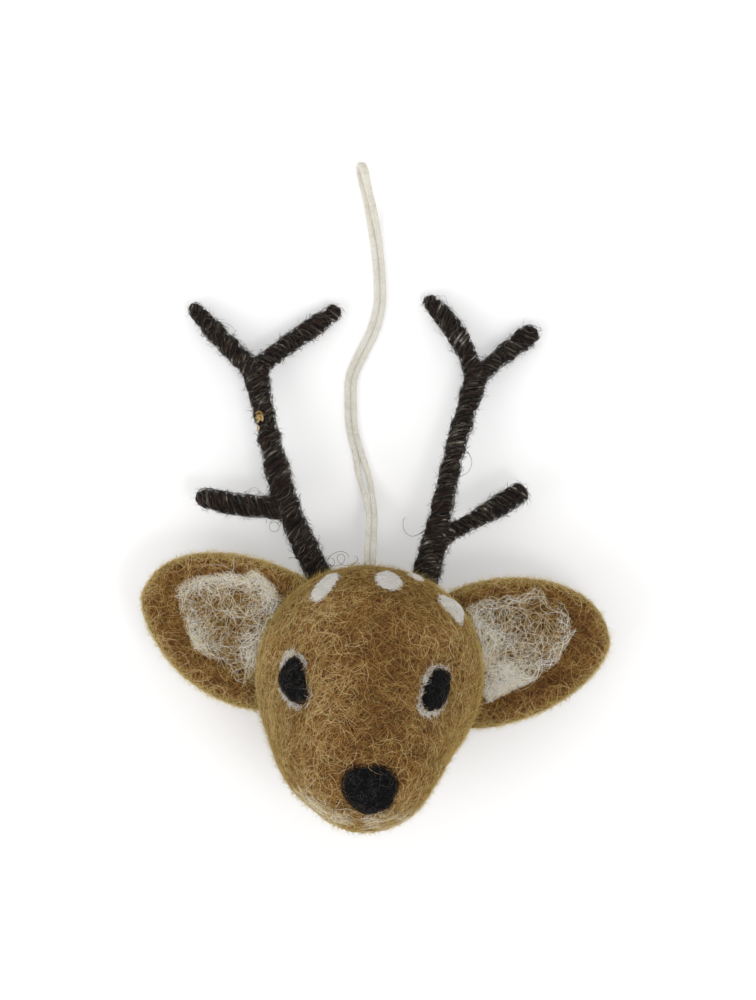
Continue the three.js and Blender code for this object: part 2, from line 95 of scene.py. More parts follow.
class Wire:
    """A socket of a node tree, so that sums on sockets are written as plain Python."""

    __add__, __radd__ = sign("ADD")
    __sub__, __rsub__ = sign("SUBTRACT")
    __mul__, __rmul__ = sign("MULTIPLY")
    __truediv__, __rtruediv__ = sign("DIVIDE")
    __pow__, __rpow__ = sign("POWER")

    def __init__(self, nodes, socket):
        self.nodes, self.socket = nodes, socket

    def also(self, name):
        """Another output of the same node."""
        return Wire(self.nodes, self.nodes.find(self.socket.node.outputs, name))


class Nodes:
    """A node tree, shader or geometry, that is filled by one method."""

    def __init__(self, tree):
        self.tree = tree

    def find(self, sockets, name=None):
        """A socket in use, by its number or its name, or else the first one."""
        if isinstance(name, int):
            return sockets[name]
        live = [s for s in sockets if s.enabled and not s.is_unavailable]
        return next((s for s in live if name in (None, s.name)), None)

    def add(self, kind, sockets=None, out=None, stops=(), **settings):
        node = self.tree.nodes.new(kind)
        for name, value in settings.items():
            setattr(node, name, value)
        if stops:
            elements = node.color_ramp.elements
            while len(elements) < len(stops):
                elements.new(1)
            for element, (at, colour) in zip(elements, stops):
                element.position, element.color = at, tint(*colour)
        for name, value in (sockets or {}).items():
            self.join(self.find(node.inputs, name), value)
        socket = self.find(node.outputs, out)
        return Wire(self, socket) if socket else node

    def join(self, socket, value):
        if isinstance(value, (list, Wire)):
            for wire in value if isinstance(value, list) else [value]:
                self.tree.links.new(wire.socket, socket)
        else:
            socket.default_value = value

    def work(self, operation, *terms):
        def wide(term):
            if isinstance(term, Wire):
                return term.socket.type in ("VECTOR", "RGBA")
            return isinstance(term, (tuple, Vector))

        if not any(map(wide, terms)):
            return self.add("ShaderNodeMath", dict(enumerate(terms)), operation=operation)
        if operation == "MULTIPLY" and not all(map(wide, terms)):
            vector, number = terms if wide(terms[0]) else terms[::-1]
            return self.add("ShaderNodeVectorMath", {0: vector, "Scale": number}, operation="SCALE")
        return self.add("ShaderNodeVectorMath", dict(enumerate(terms)), operation=operation)

    def within(self, value, low=0.0, high=1.0):
        return self.add("ShaderNodeClamp", {"Value": value, "Min": low, "Max": high})

    def mix(self, factor, a, b):
        return self.add("ShaderNodeMix", {"Factor": factor, "A": a, "B": b}, data_type="RGBA")

    def ramp(self, value, stops):
        return self.add("ShaderNodeValToRGB", {"Fac": value}, stops=stops)

    def cloud(self, place, scale, detail=2.0, rough=0.5, out=None):
        sockets = {"Vector": place, "Scale": scale, "Detail": detail, "Roughness": rough}
        return self.add("ShaderNodeTexNoise", sockets, out=out)


def tint(red, green, blue):
    """A colour as a paint chart gives it, 0 to 255, as the linear numbers that shaders take."""
    parts = [c / 255 for c in (red, green, blue)]
    return (*(((c + 0.055) / 1.055) ** 2.4 if c > 0.04 else c / 12.92 for c in parts), 1.0)


def finish(name, rough, sheen=0.0, gloss=0.25, bloom=(1, 1, 1, 1)):
    """A new material with constants on its shader, and the nodes to drive the rest from."""
    material = bpy.data.materials.new(name)
    material.use_nodes = True
    shader = material.node_tree.nodes["Principled BSDF"]
    names = ("Roughness", "Specular IOR Level", "Sheen Weight", "Sheen Roughness", "Sheen Tint")
    for socket, value in zip(names, (rough, gloss, sheen, 0.6, bloom)):
        shader.inputs[socket].default_value = value
    return material, Nodes(material.node_tree), shader


def piece(name, mesh, material):
    """A mesh as an object at the origin, with smooth faces."""
    thing = bpy.data.objects.new(name, mesh)
    scene.collection.objects.link(thing)
    mesh.shade_smooth()
    mesh.materials.append(material)
    return thing


def mesh_of(name, corners, faces, edges=()):
    mesh = bpy.data.meshes.new(name)
    mesh.from_pydata([tuple(c) for c in corners], list(edges), [tuple(f) for f in faces])
    mesh.update()
    return mesh


table_material, nodes, shader = finish("white_table", 0.9)
path = nodes.add("ShaderNodeLightPath")
mirrored = nodes.work("MAXIMUM", path.also("Is Glossy Ray"), path.also("Is Transmission Ray"))
shown = nodes.work("MAXIMUM", path.also("Is Camera Ray"), mirrored)
nodes.join(shader.inputs["Base Color"], nodes.mix(shown, (0.9, 0.9, 0.9, 1), (0.88, 0.88, 0.88, 1)))
glow = nodes.add("ShaderNodeEmission", {"Color": (1, 1, 1, 1), "Strength": shown * 0.2})
both = nodes.add("ShaderNodeAddShader", {0: Wire(nodes, shader.outputs[0]), 1: glow})
nodes.join(table_material.node_tree.nodes["Material Output"].inputs["Surface"], both)
table_half = 2.5
table_corners = [(x * table_half, y * table_half, 0) for x, y in ((-1, -1), (1, -1), (1, 1), (-1, 1))]
piece("table", mesh_of("table", table_corners, [(0, 1, 2, 3)]), table_material)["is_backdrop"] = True

room_level, lamp_aim = 0.85, Vector((0, 0.03, 0))
scene.world = bpy.data.worlds.new("room")
scene.world.use_nodes = True
nodes = Nodes(scene.world.node_tree)
camera_ray = nodes.add("ShaderNodeLightPath", out="Is Camera Ray")
room = scene.world.node_tree.nodes["Background"]
room.inputs["Color"].default_value = (1, 1, 1, 1)
nodes.join(room.inputs["Strength"], room_level + camera_ray * (1 - room_level))

lamps = (("window", (0.35, -0.35, 1.3), 0.36, 2.6), ("softbox", (-0.85, -0.5, 1.0), 0.9, 3.6))
for name, place, across, watts in lamps:
    lamp_data = bpy.data.lights.new(name, "AREA")
    lamp_data.shape, lamp_data.size, lamp_data.energy = "DISK", across, watts
    lamp = bpy.data.objects.new(name, lamp_data)
    scene.collection.objects.link(lamp)
    lamp.location = place
    lamp.rotation_euler = (lamp_aim - lamp.location).to_track_quat("-Z", "Y").to_euler()
scene.view_settings.view_transform = "Standard"

# Hanging loop: one strand of cream cotton, three plies twisted together, folded in half. Both ends
# go through a hole in the crown and are knotted inside. It is limp and lies on the table.
crown_lean = math.radians(24)
cranium = Vector((0, 0, 23.8)) * mm
cranium_radius = 24.3 * mm
crown = Vector((0, math.cos(crown_lean), -math.sin(crown_lean)))
knot_side = cranium + crown * (cranium_radius - 4 * mm)
strand_apart = Vector((0.75 * mm, 0, 0))
loop_route = [
    (-0.75, 26.0, 12.1), (-0.4, 30.5, 9.2), (-0.35, 35.0, 5.6), (-1.4, 39.5, 2.5), (-2.5, 43.5, 1.0),
    (-3.2, 47.5, 0.75), (-4.5, 53.0, 0.75), (-4.85, 59.5, 0.75), (-4.5, 64.5, 0.75), (-2.4, 69.5, 0.75),
    (0.05, 74.5, 0.75), (1.4, 80.0, 0.75), (1.45, 84.5, 0.75), (1.05, 90.0, 0.75), (0.3, 95.5, 0.75),
    (-0.65, 101.0, 0.75), (-1.5, 105.0, 0.75),
    (-1.85, 107.4, 0.8), (-2.05, 109.2, 1.5), (-1.85, 109.9, 3.15), (-1.35, 109.1, 4.85),
    (-0.85, 107.3, 5.5),
    (-0.1, 104.4, 5.0), (0.75, 100.8, 3.1), (1.55, 96.6, 1.3), (2.4, 90.2, 0.75), (2.8, 84.5, 0.75),
    (2.75, 79.8, 0.75), (1.35, 74.0, 0.75), (-1.15, 68.9, 0.75), (-3.2, 64.2, 0.75), (-3.5, 59.5, 0.75),
    (-3.15, 53.2, 0.75), (-1.75, 47.8, 0.75), (-0.45, 43.7, 1.0), (0.4, 39.6, 2.5), (1.0, 35.0, 5.6),
    (0.95, 30.5, 9.2), (0.75, 26.0, 12.1),
]


def lengths(line):
    """How far along a line each of its points is."""
    return np.concatenate([[0], np.cumsum(np.linalg.norm(np.diff(line, axis=0), axis=1))])


def unit(rows):
    """Rows of numbers as directions."""
    return rows / np.linalg.norm(rows, axis=-1)[..., None]


def spaced(line, count, **ends):
    """The same line with so many evenly spaced points."""
    along = lengths(line)
    even = np.linspace(0, along[-1], count, **ends)
    return np.stack([np.interp(even, along, column) for column in line.T], 1)


def evenly(line, step):
    """The same line with evenly spaced points, about a step apart."""
    return spaced(line, max(int(round(lengths(line)[-1] / step)), 2) + 1)


def through(points, step):
    """Evenly spaced places along a smooth line through these points."""
    points = [np.array(p, float) for p in points]
    points = [2 * points[0] - points[1], *points, 2 * points[-1] - points[-2]]
    fine = []
    for a, b, c, d in zip(points, points[1:], points[2:], points[3:]):
        pairs = ((a, b), (b, c), (c, d))
        knots = np.cumsum([0.0, *(np.linalg.norm(q - p) ** 0.5 for p, q in pairs)])

        def between(p, q, i, j):
            return ((knots[j] - at) * p + (at - knots[i]) * q) / (knots[j] - knots[i])

        for at in np.linspace(knots[1], knots[2], 24, endpoint=False):
            low = [between(p, q, i, i + 1) for i, (p, q) in enumerate(pairs)]
            fine.append(between(between(*low[:2], 0, 2), between(*low[1:], 1, 3), 1, 2))
    return evenly(np.array([*fine, points[-2]]), step)


def spokes(line, sides):
    """Which way a line runs at each point, and the ways out from it all round, turning little."""
    run = unit(np.gradient(line, axis=0))
    across = np.cross(run[0], (0, 0, 1) if abs(run[0][2]) < 0.9 else (1, 0, 0))
    rows = []
    for way in run:
        across = across - way * (across @ way)
        across /= np.linalg.norm(across)
        rows.append(across)
    rows = np.array(rows)
    turn = 2 * math.pi * np.arange(sides) / sides
    out = np.cos(turn)[:, None] * rows[:, None] + np.sin(turn)[:, None] * np.cross(run, rows)[:, None]
    return run, out


def tube(line, sides, radius):
    """Corners and faces of a closed tube. radius has a row for each point and a column for each side."""
    _, out = spokes(line, sides)
    corners = (line[:, None] + out * np.broadcast_to(radius, out.shape[:2])[..., None]).reshape(-1, 3)
    last = (len(line) - 1) * sides
    faces = [tuple(range(sides - 1, -1, -1)), tuple(range(last, last + sides))]
    for a in range(0, last, sides):
        for i in range(sides):
            j = (i + 1) % sides
            faces.append((a + i, a + j, a + sides + j, a + sides + i))
    return corners, faces


loop_points = [knot_side - strand_apart, *(Vector(p) * mm for p in loop_route), knot_side + strand_apart]
loop_line = through(loop_points, 0.36 * mm)
loop_along = lengths(loop_line)
loop_sides = 18
ply_radius, ply_out, ply_lay, ply_grain = 0.49 * mm, 0.11 * mm, 7 * mm, 0.06


def three_plies(turn, along):
    """The strand's radius at a turn round it, with its three plies and their unevenness."""
    swing = (turn - 2 * math.pi * along / ply_lay) % (2 * math.pi / 3) - math.pi / 3
    grain = 1 + ply_grain * noise.noise((math.cos(turn) * 2, math.sin(turn) * 2, along * 700))
    return grain * (ply_out * math.cos(swing) + math.sqrt(ply_radius**2 - (ply_out * math.sin(swing)) ** 2))


turns = [2 * math.pi * side / loop_sides for side in range(loop_sides)]
loop_radius = np.array([[three_plies(turn, along) for turn in turns] for along in loop_along])
loop_corners, loop_faces = tube(loop_line, loop_sides, loop_radius)

# The soft strand is wider and a little square where it lies against itself, round where the two parts
# leave each other, and widest at its fold. flat_by says how much wider it is at places along Y.
flat_at = np.array((0, 24, 32, 37, 41, 45, 50, 104, 108, 111)) * mm
flat_by = (1, 1.44, 1.38, 1.14, 1, 1.14, 1.4, 1.4, 1.5, 1.6)
fold_from, fold_to, outer_share = 104 * mm, 108 * mm, 0.1
square_gain, most_square = 22, 4
run, _ = spokes(loop_line, loop_sides)
aside = unit(np.array((1.0, 0, 0)) - run * run[:, :1])
out = loop_corners.reshape(-1, loop_sides, 3) - loop_line[:, None]
reach = (out * aside[:, None]).sum(2)
inner = reach * np.where(loop_along < loop_along[-1] / 2, 1, -1)[:, None] > 0
wider = np.interp(loop_line[:, 1], flat_at, flat_by)[:, None] - 1
folded = np.interp(loop_line[:, 1], (fold_from, fold_to), (outer_share, 1))[:, None]
wider = np.where(inner, wider, wider * folded)
out = out + (reach * wider)[..., None] * aside[:, None]
level = np.minimum(np.abs(reach) / np.linalg.norm(out, axis=2) * (1 + wider), 1)
square = 2 + np.clip(wider * square_gain, 0, most_square)
out = out / ((level**square + np.sqrt(1 - level**2) ** square) ** (1 / square))[..., None]
loop_corners = (loop_line[:, None] + out).reshape(-1, 3)

cotton, nodes, shader = finish("cream_cotton", 0.9, sheen=0.1)
shader.inputs["Subsurface Weight"].default_value = 0.6
shader.inputs["Subsurface Radius"].default_value = (1.0, 0.96, 0.88)
shader.inputs["Subsurface Scale"].default_value = 1.2 * mm
place = nodes.add("ShaderNodeTexCoord", out="Object")
fibre = nodes.cloud(place, 1400.0, 4.0, 0.7)
creams = [(0.3, (202, 197, 182)), (0.5, (220, 216, 204)), (0.7, (231, 228, 219))]
cream = nodes.ramp(fibre * 0.6 + nodes.cloud(place, 220.0) * 0.4, creams)
speck = nodes.within((nodes.cloud(place, 900.0, 1.0) - 0.74) * 14)
nodes.join(shader.inputs["Base Color"], nodes.mix(speck * 0.6, cream, tint(112, 92, 68)))
woolly = {"Height": fibre, "Strength": 0.4, "Distance": 0.12 * mm}
nodes.join(shader.inputs["Normal"], nodes.add("ShaderNodeBump", woolly))


def fixed(thing, body, slot, *replaced):
    """Attaches a piece to the body that it rides on, and hides the CAD nodes that it replaces. slot is not
    used.
    """
    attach(thing, body)
    if replaced:
        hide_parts(*replaced)


loop = piece("cotton_loop", mesh_of("cotton_loop", loop_corners, loop_faces), cotton)
fixed(loop, "head", "cotton_cord", "hanging_loop")

# Head: tan wool, needled into a firm egg over a core of undyed wool. The felt dips round the eyes
# and swells under the pads. Loose curly fibres cover all of it and stand off as fuzz.
muzzle = cranium + Vector((-2, -16.2, 16.9)) * mm
muzzle_radius = 17.2 * mm
head_axis = (muzzle - cranium).normalized()
head_reach = (muzzle - cranium).length
cone = math.asin((cranium_radius - muzzle_radius) / head_reach)


def head_distance(places):
    """How far places are from the plain egg's surface, negative inside."""
    off = np.asarray(places, float) - np.array(cranium)
    along = off @ np.array(head_axis)
    out = np.sqrt(np.maximum((off**2).sum(-1) - along**2, 0))
    down = along * math.cos(cone) - out * math.sin(cone)
    side = out * math.cos(cone) + along * math.sin(cone) - cranium_radius
    top = np.hypot(out, along) - cranium_radius
    tip = np.hypot(out, along - head_reach) - muzzle_radius
    return np.where(down < 0, top, np.where(down > head_reach * math.cos(cone), tip, side))


def head_normal(places):
    places, step = np.asarray(places, float), 0.01 * mm
    slope = [head_distance(places + step * axis) - head_distance(places - step * axis) for axis in np.eye(3)]
    return unit(np.stack(slope, -1))


def on_head(places, way, reach):
    """Where rays from places meet the egg, by halving."""
    near = np.zeros(np.shape(places)[:-1])
    far = near + reach
    inside = head_distance(places) < 0
    for _ in range(40):
        middle = (near + far) / 2
        same = (head_distance(places + way * middle[..., None]) < 0) == inside
        near, far = np.where(same, middle, near), np.where(same, far, middle)
    return places + way * near[..., None]


def head_spot(azimuth, elevation):
    """A place on the egg, by degrees round the cranium's middle from the way that the face looks."""
    turn, lift = math.radians(azimuth), math.radians(elevation)
    way = (math.cos(lift) * math.sin(turn), math.sin(lift), math.cos(lift) * math.cos(turn))
    return on_head(np.array(cranium), np.array(way), 0.1)


def even_round(outline, sides):
    """Evenly spaced places round a closed outline."""
    return spaced(np.concatenate([outline, outline[:1]]), sides, endpoint=False)


def rounded(points, sides):
    """A smooth closed outline through a few points, anticlockwise, evenly stepped."""
    points = np.array(points, float)
    before, after, later = (np.roll(points, shift, 0)[:, None] for shift in (1, -1, -2))
    here, share = points[:, None], np.linspace(0, 1, 16, endpoint=False)[None, :, None]
    bend = before - 2.5 * here + 2 * after - later / 2
    twist = 1.5 * (here - after) + (later - before) / 2
    fine = (here + share * (after - before) / 2 + share**2 * bend + share**3 * twist).reshape(-1, 2)
    ahead = np.roll(fine, -1, 0)
    area = (fine[:, 0] * ahead[:, 1] - ahead[:, 0] * fine[:, 1]).sum()
    return even_round(fine if area > 0 else np.roll(fine[::-1], 1, 0), sides)


def near_edge(outline, flat):
    """How far places are inside an outline, negative outside, and which way its nearest edge runs."""
    span = np.roll(outline, -1, 0) - outline
    off = flat[:, None] - outline
    share = np.clip((off * span).sum(-1) / (span**2).sum(-1), 0, 1)
    apart = np.linalg.norm(off - share[..., None] * span, axis=-1)
    away, run = apart.min(1), span[apart.argmin(1)]
    over = off[..., 1] >= 0
    crossed = over != np.roll(over, -1, 1)
    side = off[..., 0] * span[:, 1] - off[..., 1] * span[:, 0]
    odd = (crossed & ((side < 0) == (span[:, 1] > 0))).sum(1) % 2
    return np.where(odd == 1, away, -away), unit(run)


class Pad:
    """Wool needled on the head: its outline in mm seen from one side, and how far it stands up."""

    def __init__(self, points, rise, round_off, way=(0, 0, 1)):
        self.way = np.array(way, float)
        right = np.array((1.0, 0, 0)) - self.way * self.way[0]
        self.right = right / np.linalg.norm(right)
        self.up = np.cross(self.way, self.right)
        self.outline = rounded(points, 64) * mm
        self.middle = self.outline.mean(0)
        self.rise, self.round_off = rise * mm, round_off * mm

    def flat(self, places):
        return np.stack([places @ self.right, places @ self.up], -1)

    def depth(self, places):
        """How far inside the pad places on the head are, negative outside."""
        flat, depth = self.flat(places), np.full(len(places), -1.0)
        near = (np.abs(flat - self.middle) < np.ptp(self.outline, axis=0) + 3 * mm).all(1)
        near &= head_normal(places) @ self.way > 0.02
        if near.any():
            depth[near] = near_edge(self.outline, flat[near])[0]
        return depth

    def over(self, flat):
        """The plain egg's surface under places on the pad."""
        shadow = np.array(cranium) @ self.way
        above = flat[:, :1] * self.right + flat[:, 1:] * self.up + (shadow + 60 * mm) * self.way
        met = on_head(above, -self.way, 60 * mm)
        return met - head_normal(met) * head_distance(met)[:, None]


# How far a pad stands up, and how far in from its outline it is rounded off.
nose_height, eye_height, spot_height, back_spot_height = (1.9, 3.4), (0.7, 1.6), (0.45, 1), (0.4, 0.8)
nose_pad = Pad([(-4.5, -19.7), (-1, -19), (3, -19.2), (5.5, -21.4), (5.5, -24.4), (3.6, -27.7), (0, -29.1),
                (-3, -28.1), (-5.3, -25.3), (-5.9, -22.2)], *nose_height)
eye_pads = {
    "left": Pad([(-16.8, 4.2), (-15, 3.3), (-14.1, 0), (-13.4, -4.1), (-14.3, -5.6), (-16.3, -5.4),
                 (-18.7, -3.2), (-19.7, -0.7), (-18.7, 2)], *eye_height),
    "right": Pad([(13.8, 1.2), (15.5, 1.4), (17.1, 0.6), (17.3, -1.5), (16.6, -4.4), (15, -6.7), (12.6, -7.1),
                  (11.2, -5.6), (12, -2.2)], *eye_height),
}
spot_pads = {
    "left": Pad([(-12.5, 17.4), (-12.1, 18.4), (-10.7, 20.2), (-9, 21.7), (-7.5, 22.2), (-6.7, 21.4),
                 (-7.7, 19.7), (-9.1, 17.9), (-11.2, 16.2), (-12.2, 16.4)], *spot_height),
    "middle": Pad([(1.3, 21), (1.9, 22.2), (3.8, 22.7), (5.6, 22), (6.8, 20.3), (6, 19), (3.8, 18.7),
                   (1.9, 19.8)], *spot_height),
    "right": Pad([(15.1, 16.7), (16, 17.4), (18.7, 15.6), (20, 13.4), (19.7, 11.5), (18.8, 11.7),
                  (17.3, 13.6), (15.7, 15.3)], *spot_height),
}
back_spot, back_half = head_spot(61, 62), (1.9, 1.7)
back_pad = Pad([(1, 0), (0, 1), (-1, 0), (0, -1)], *back_spot_height, head_normal(back_spot))
back_pad.middle = back_pad.flat(back_spot)
back_pad.outline = back_pad.middle + back_pad.outline * back_half
spot_pads["back"] = back_pad
all_pads = [nose_pad, *eye_pads.values(), *spot_pads.values()]


def noise_at(places, scale, seed):
    return np.array([noise.noise(Vector(p) * scale + Vector((seed, 2 * seed, 3 * seed))) for p in places])


def fade(values, start, over):
    """From nought at a start to one, over a stretch that may run either way."""
    return np.clip((values - start) / over, 0, 1)


# Where the felt is fuller or flatter than the egg: a place and its width in mm, and how much flatter.
flatter = ((3, 23.5, 22, 13, 0.8), (-13, -29.4, 42, 7, 1.7), (-20, -18, 36, 7, -0.6), (20, -14, 34, 7, 0.8),
           (-22.5, -9, 26, 7, -0.7))
lump, fine_lump, sunk = 0.22 * mm, 0.1 * mm, 0.3 * mm
dip, dip_out, dip_wide = 0.6 * mm, 0.9 * mm, 1.3 * mm


def swell(places):
    """How far the felt stands off the plain egg."""
    rise = lump * noise_at(places, 110, 1) + fine_lump * noise_at(places, 330, 2) - sunk
    for *middle, wide, deep in flatter:
        rise = rise - deep * mm * np.exp(-((places / mm - middle) ** 2).sum(1) / wide**2)
    for pad in all_pads:
        inset = fade(pad.depth(places), 0, pad.round_off)
        rise = rise + pad.rise * np.sqrt(1 - (1 - inset) ** 2)
    for pad in eye_pads.values():
        rise = rise - dip * np.exp(-(((pad.depth(places) + dip_out) / dip_wide) ** 2))
    return rise


def felted(places):
    """The plain egg's surface moved out to the felt's, and flat where it rests on the table."""
    moved = places + head_normal(places) * swell(places)[:, None]
    moved[:, 2] = np.maximum(moved[:, 2], 0)
    return moved


def bands(count, sides):
    """A fan of faces round the first corner, and faces between the rings of corners that follow it."""
    faces = [(0, 1 + i, 1 + (i + 1) % sides) for i in range(sides)]
    for a in range(1, 1 + (count - 1) * sides, sides):
        b = a + sides
        faces += [(a + i, b + i, b + (i + 1) % sides, a + (i + 1) % sides) for i in range(sides)]
    return faces


def egg(sides, steps):
    """Places on the plain egg, from the back of the cranium to the muzzle, and its faces."""
    axis = np.array(head_axis)
    right = np.cross(axis, (0, 0, 1))
    right /= np.linalg.norm(right)
    up = np.cross(right, axis)
    wheel = 2 * math.pi * np.arange(sides) / sides
    around = np.cos(wheel)[:, None] * right + np.sin(wheel)[:, None] * up
    corners = [np.array(cranium) - axis * cranium_radius]
    for share in np.linspace(0, 1, steps)[1:-1]:
        turn = (share - 0.5) * math.pi
        start = np.array(cranium) + axis * head_reach * share * 0.9
        ways = axis * math.sin(turn) + around * math.cos(turn)
        corners += list(on_head(np.repeat(start[None], sides, 0), ways, 0.09))
    corners.append(np.array(muzzle) + axis * muzzle_radius)
    last, rim = len(corners) - 1, 1 + (steps - 3) * sides
    closing = [(last, rim + (i + 1) % sides, rim + i) for i in range(sides)]
    return np.array(corners), bands(steps - 2, sides) + closing


def store(mesh, name, values):
    values = np.asarray(values, np.float32)
    kind = "FLOAT" if values.ndim == 1 else "FLOAT_VECTOR"
    attribute = mesh.attributes.new(name, kind, "POINT")
    attribute.data.foreach_set("value" if values.ndim == 1 else "vector", values.ravel())


def seeded(mesh, cover=1.0, bare=0.0, shade=0.0, follow=0.0, guide=(0, 0, 0)):
    """Sets how wool grows on a mesh: how thickly, where it stays under, its tone, which way it runs."""
    count = len(mesh.vertices)
    for name, value in (("cover", cover), ("bare", bare), ("shade", shade), ("follow", follow)):
        store(mesh, name, np.broadcast_to(np.asarray(value, float), (count,)))
    store(mesh, "guide", np.broadcast_to(np.asarray(guide, float), (count, 3)))
    return mesh


class GrowthNodes(Nodes):
    """Geometry nodes, with what fibres and yarn both need."""

    def read(self, name, kind="FLOAT"):
        return self.add("GeometryNodeInputNamedAttribute", {"Name": name}, data_type=kind)

    def keep(self, geometry, name, value, kind="FLOAT", domain="POINT"):
        sockets = {"Geometry": geometry, "Name": name, "Value": value}
        return self.add("GeometryNodeStoreNamedAttribute", sockets, data_type=kind, domain=domain)

    def chance(self, low, high, seed, kind="FLOAT", **of):
        sockets = {"Min": low, "Max": high, "Seed": seed, **of}
        return self.add("FunctionNodeRandomValue", sockets, data_type=kind)

    def tubes(self, curves, sides, thick):
        """Closed tubes along curves. Their UV map goes by tone and length, so each keeps its colour."""
        curves = self.keep(curves, "at_share", self.add("GeometryNodeSplineParameter", out="Factor"))
        ring = self.add("GeometryNodeCurvePrimitiveCircle", {"Resolution": sides, "Radius": 1.0})
        ring = self.keep(ring, "at_ring", self.add("GeometryNodeSplineParameter", out="Factor"))
        sockets = {"Curve": curves, "Profile Curve": ring, "Scale": thick, "Fill Caps": True}
        made = self.add("GeometryNodeCurveToMesh", sockets)
        over = self.read("tone") * 0.9 + self.read("at_ring") * 0.04 + 0.03
        spread = self.add("ShaderNodeCombineXYZ", {"X": over, "Y": self.read("at_share") * 0.9 + 0.05})
        return self.keep(made, "OFBake", spread, "FLOAT2", "CORNER")

    def end(self, made, wool):
        """The tree's result: plain mesh, without the values that were only needed to make it."""
        spent = {"Geometry": made, "Name": "at_*"}
        made = self.add("GeometryNodeRemoveAttribute", spent, pattern_mode="WILDCARD")
        made = self.add("GeometryNodeRealizeInstances", {"Geometry": made})
        made = self.add("GeometryNodeSetMaterial", {"Geometry": made, "Material": wool})
        self.add("NodeGroupOutput", {"Geometry": made})


def new_tree(name, sizes, counts):
    """An empty tree of geometry nodes with named inputs for its sizes and its material."""
    tree = bpy.data.node_groups.new(name, "GeometryNodeTree")
    kinds = {"Geometry": "Geometry", "Wool": "Material"}
    kinds |= dict.fromkeys(sizes, "Float") | dict.fromkeys(counts, "Int")
    for socket, kind in kinds.items():
        tree.interface.new_socket(socket, in_out="INPUT", socket_type="NodeSocket" + kind)
    tree.interface.new_socket("Geometry", in_out="OUTPUT", socket_type="NodeSocketGeometry")
    nodes = GrowthNodes(tree)
    return tree, nodes, nodes.add("NodeGroupInput", out="Geometry")


def wool_tree():
    """Fibres felted on a surface: bent, wandering tubes that lie on it, dive into it or stand off it."""
    sizes = ("Density", "Length", "Bend", "Wander", "Lift", "Arch", "Stand", "Radius")
    tones = ("Tone Low", "Tone High", "Stray")
    crimp, buried, taper = 560.0, 1.5, 7
    tree, nodes, surface = new_tree("wool_fibres", sizes + tones, ("Points", "Seed"))
    read, seed, vector = nodes.read, surface.also("Seed"), "FLOAT_VECTOR"

    def chance(low, high, salt, kind="FLOAT"):
        return nodes.chance(low, high, seed * 31 + salt, kind)

    density = surface.also("Density") * read("cover")
    sockets = {"Mesh": surface, "Density": density, "Seed": seed}
    grown = nodes.add("GeometryNodeDistributePointsOnFaces", sockets)
    out = grown.also("Normal")
    any_way = chance((-1, -1, -1), (1, 1, 1), 7, vector)
    flat = nodes.work("NORMALIZE", any_way - out * nodes.work("DOT_PRODUCT", any_way, out))
    follow = read("follow")
    run = nodes.work("NORMALIZE", flat * (1 - follow) + read("guide", vector) * follow)
    low, high = surface.also("Tone Low"), surface.also("Tone High")
    stray = nodes.work("LESS_THAN", chance(0.0, 1.0, 9), surface.also("Stray"))
    for name, value, kind in (
        ("at_run", run, vector),
        ("at_side", nodes.work("CROSS_PRODUCT", out, run), vector),
        ("at_middle", nodes.add("GeometryNodeInputPosition"), vector),
        ("tone", nodes.within(low + (high - low) * chance(0.0, 1.0, 1) + read("shade")), "FLOAT"),
        ("at_long", surface.also("Length") * chance(0.6, 1.4, 2), "FLOAT"),
        ("at_bend", surface.also("Bend") * chance(-1.0, 1.0, 3), "FLOAT"),
        ("at_phase", chance(0.0, 40.0, 4), "FLOAT"),
        ("at_lift", chance(0.15, 1.0, 5), "FLOAT"),
        ("at_stand", chance(0.0, 1.0, 6) ** 2, "FLOAT"),
        ("at_thick", surface.also("Radius") * chance(0.7, 1.3, 8), "FLOAT"),
        ("at_tied", 1 - stray, "FLOAT"),
    ):
        grown = nodes.keep(grown, name, value, kind)
    thread = nodes.add("GeometryNodeCurvePrimitiveLine", {"Start": (0, 0, 0), "End": (1, 0, 0)})
    thread = nodes.add("GeometryNodeResampleCurve", {"Curve": thread, "Count": surface.also("Points")})
    strands = nodes.add("GeometryNodeInstanceOnPoints", {"Points": grown, "Instance": thread})
    strands = nodes.add("GeometryNodeRealizeInstances", {"Geometry": strands})

    share = nodes.add("GeometryNodeSplineParameter", out="Factor")
    middle, long = share - 0.5, read("at_long")
    sway = long * read("at_bend") * (middle * middle * 4 - 0.3)
    start = read("at_middle", vector) + read("at_run", vector) * (middle * long)
    start = start + read("at_side", vector) * sway
    cloud = nodes.cloud(start + (1.0, 1.7, 2.3) * read("at_phase"), crimp, 1.0, out="Color")
    free = start + (cloud - (0.5, 0.5, 0.5)) * surface.also("Wander")

    def nearest(value, kind):
        sockets = {"Mesh": surface, "Value": value, "Sample Position": free}
        return nodes.add("GeometryNodeSampleNearestSurface", sockets, data_type=kind)

    foot = nearest(nodes.add("GeometryNodeInputPosition"), vector)
    up = nearest(nodes.add("GeometryNodeInputNormal"), vector)
    bare = nearest(read("bare"), "FLOAT") * read("at_tied")
    lift = surface.also("Lift") * read("at_lift")
    lift = lift + surface.also("Arch") * nodes.work("SINE", share * math.pi) * read("at_stand")
    lift = lift + surface.also("Stand") * read("at_stand") * share * share - bare * buried * mm
    strands = nodes.add("GeometryNodeSetPosition", {"Geometry": strands, "Position": foot + up * lift})
    ends = nodes.work("MINIMUM", share, 1 - share)
    thick = read("at_thick") * nodes.within(ends * taper + 0.04)
    nodes.end(nodes.tubes(strands, 3, thick), surface.also("Wool"))
    return tree


ground_values = ("cover", "bare", "shade", "follow", "guide", "radius", "thick", "along")


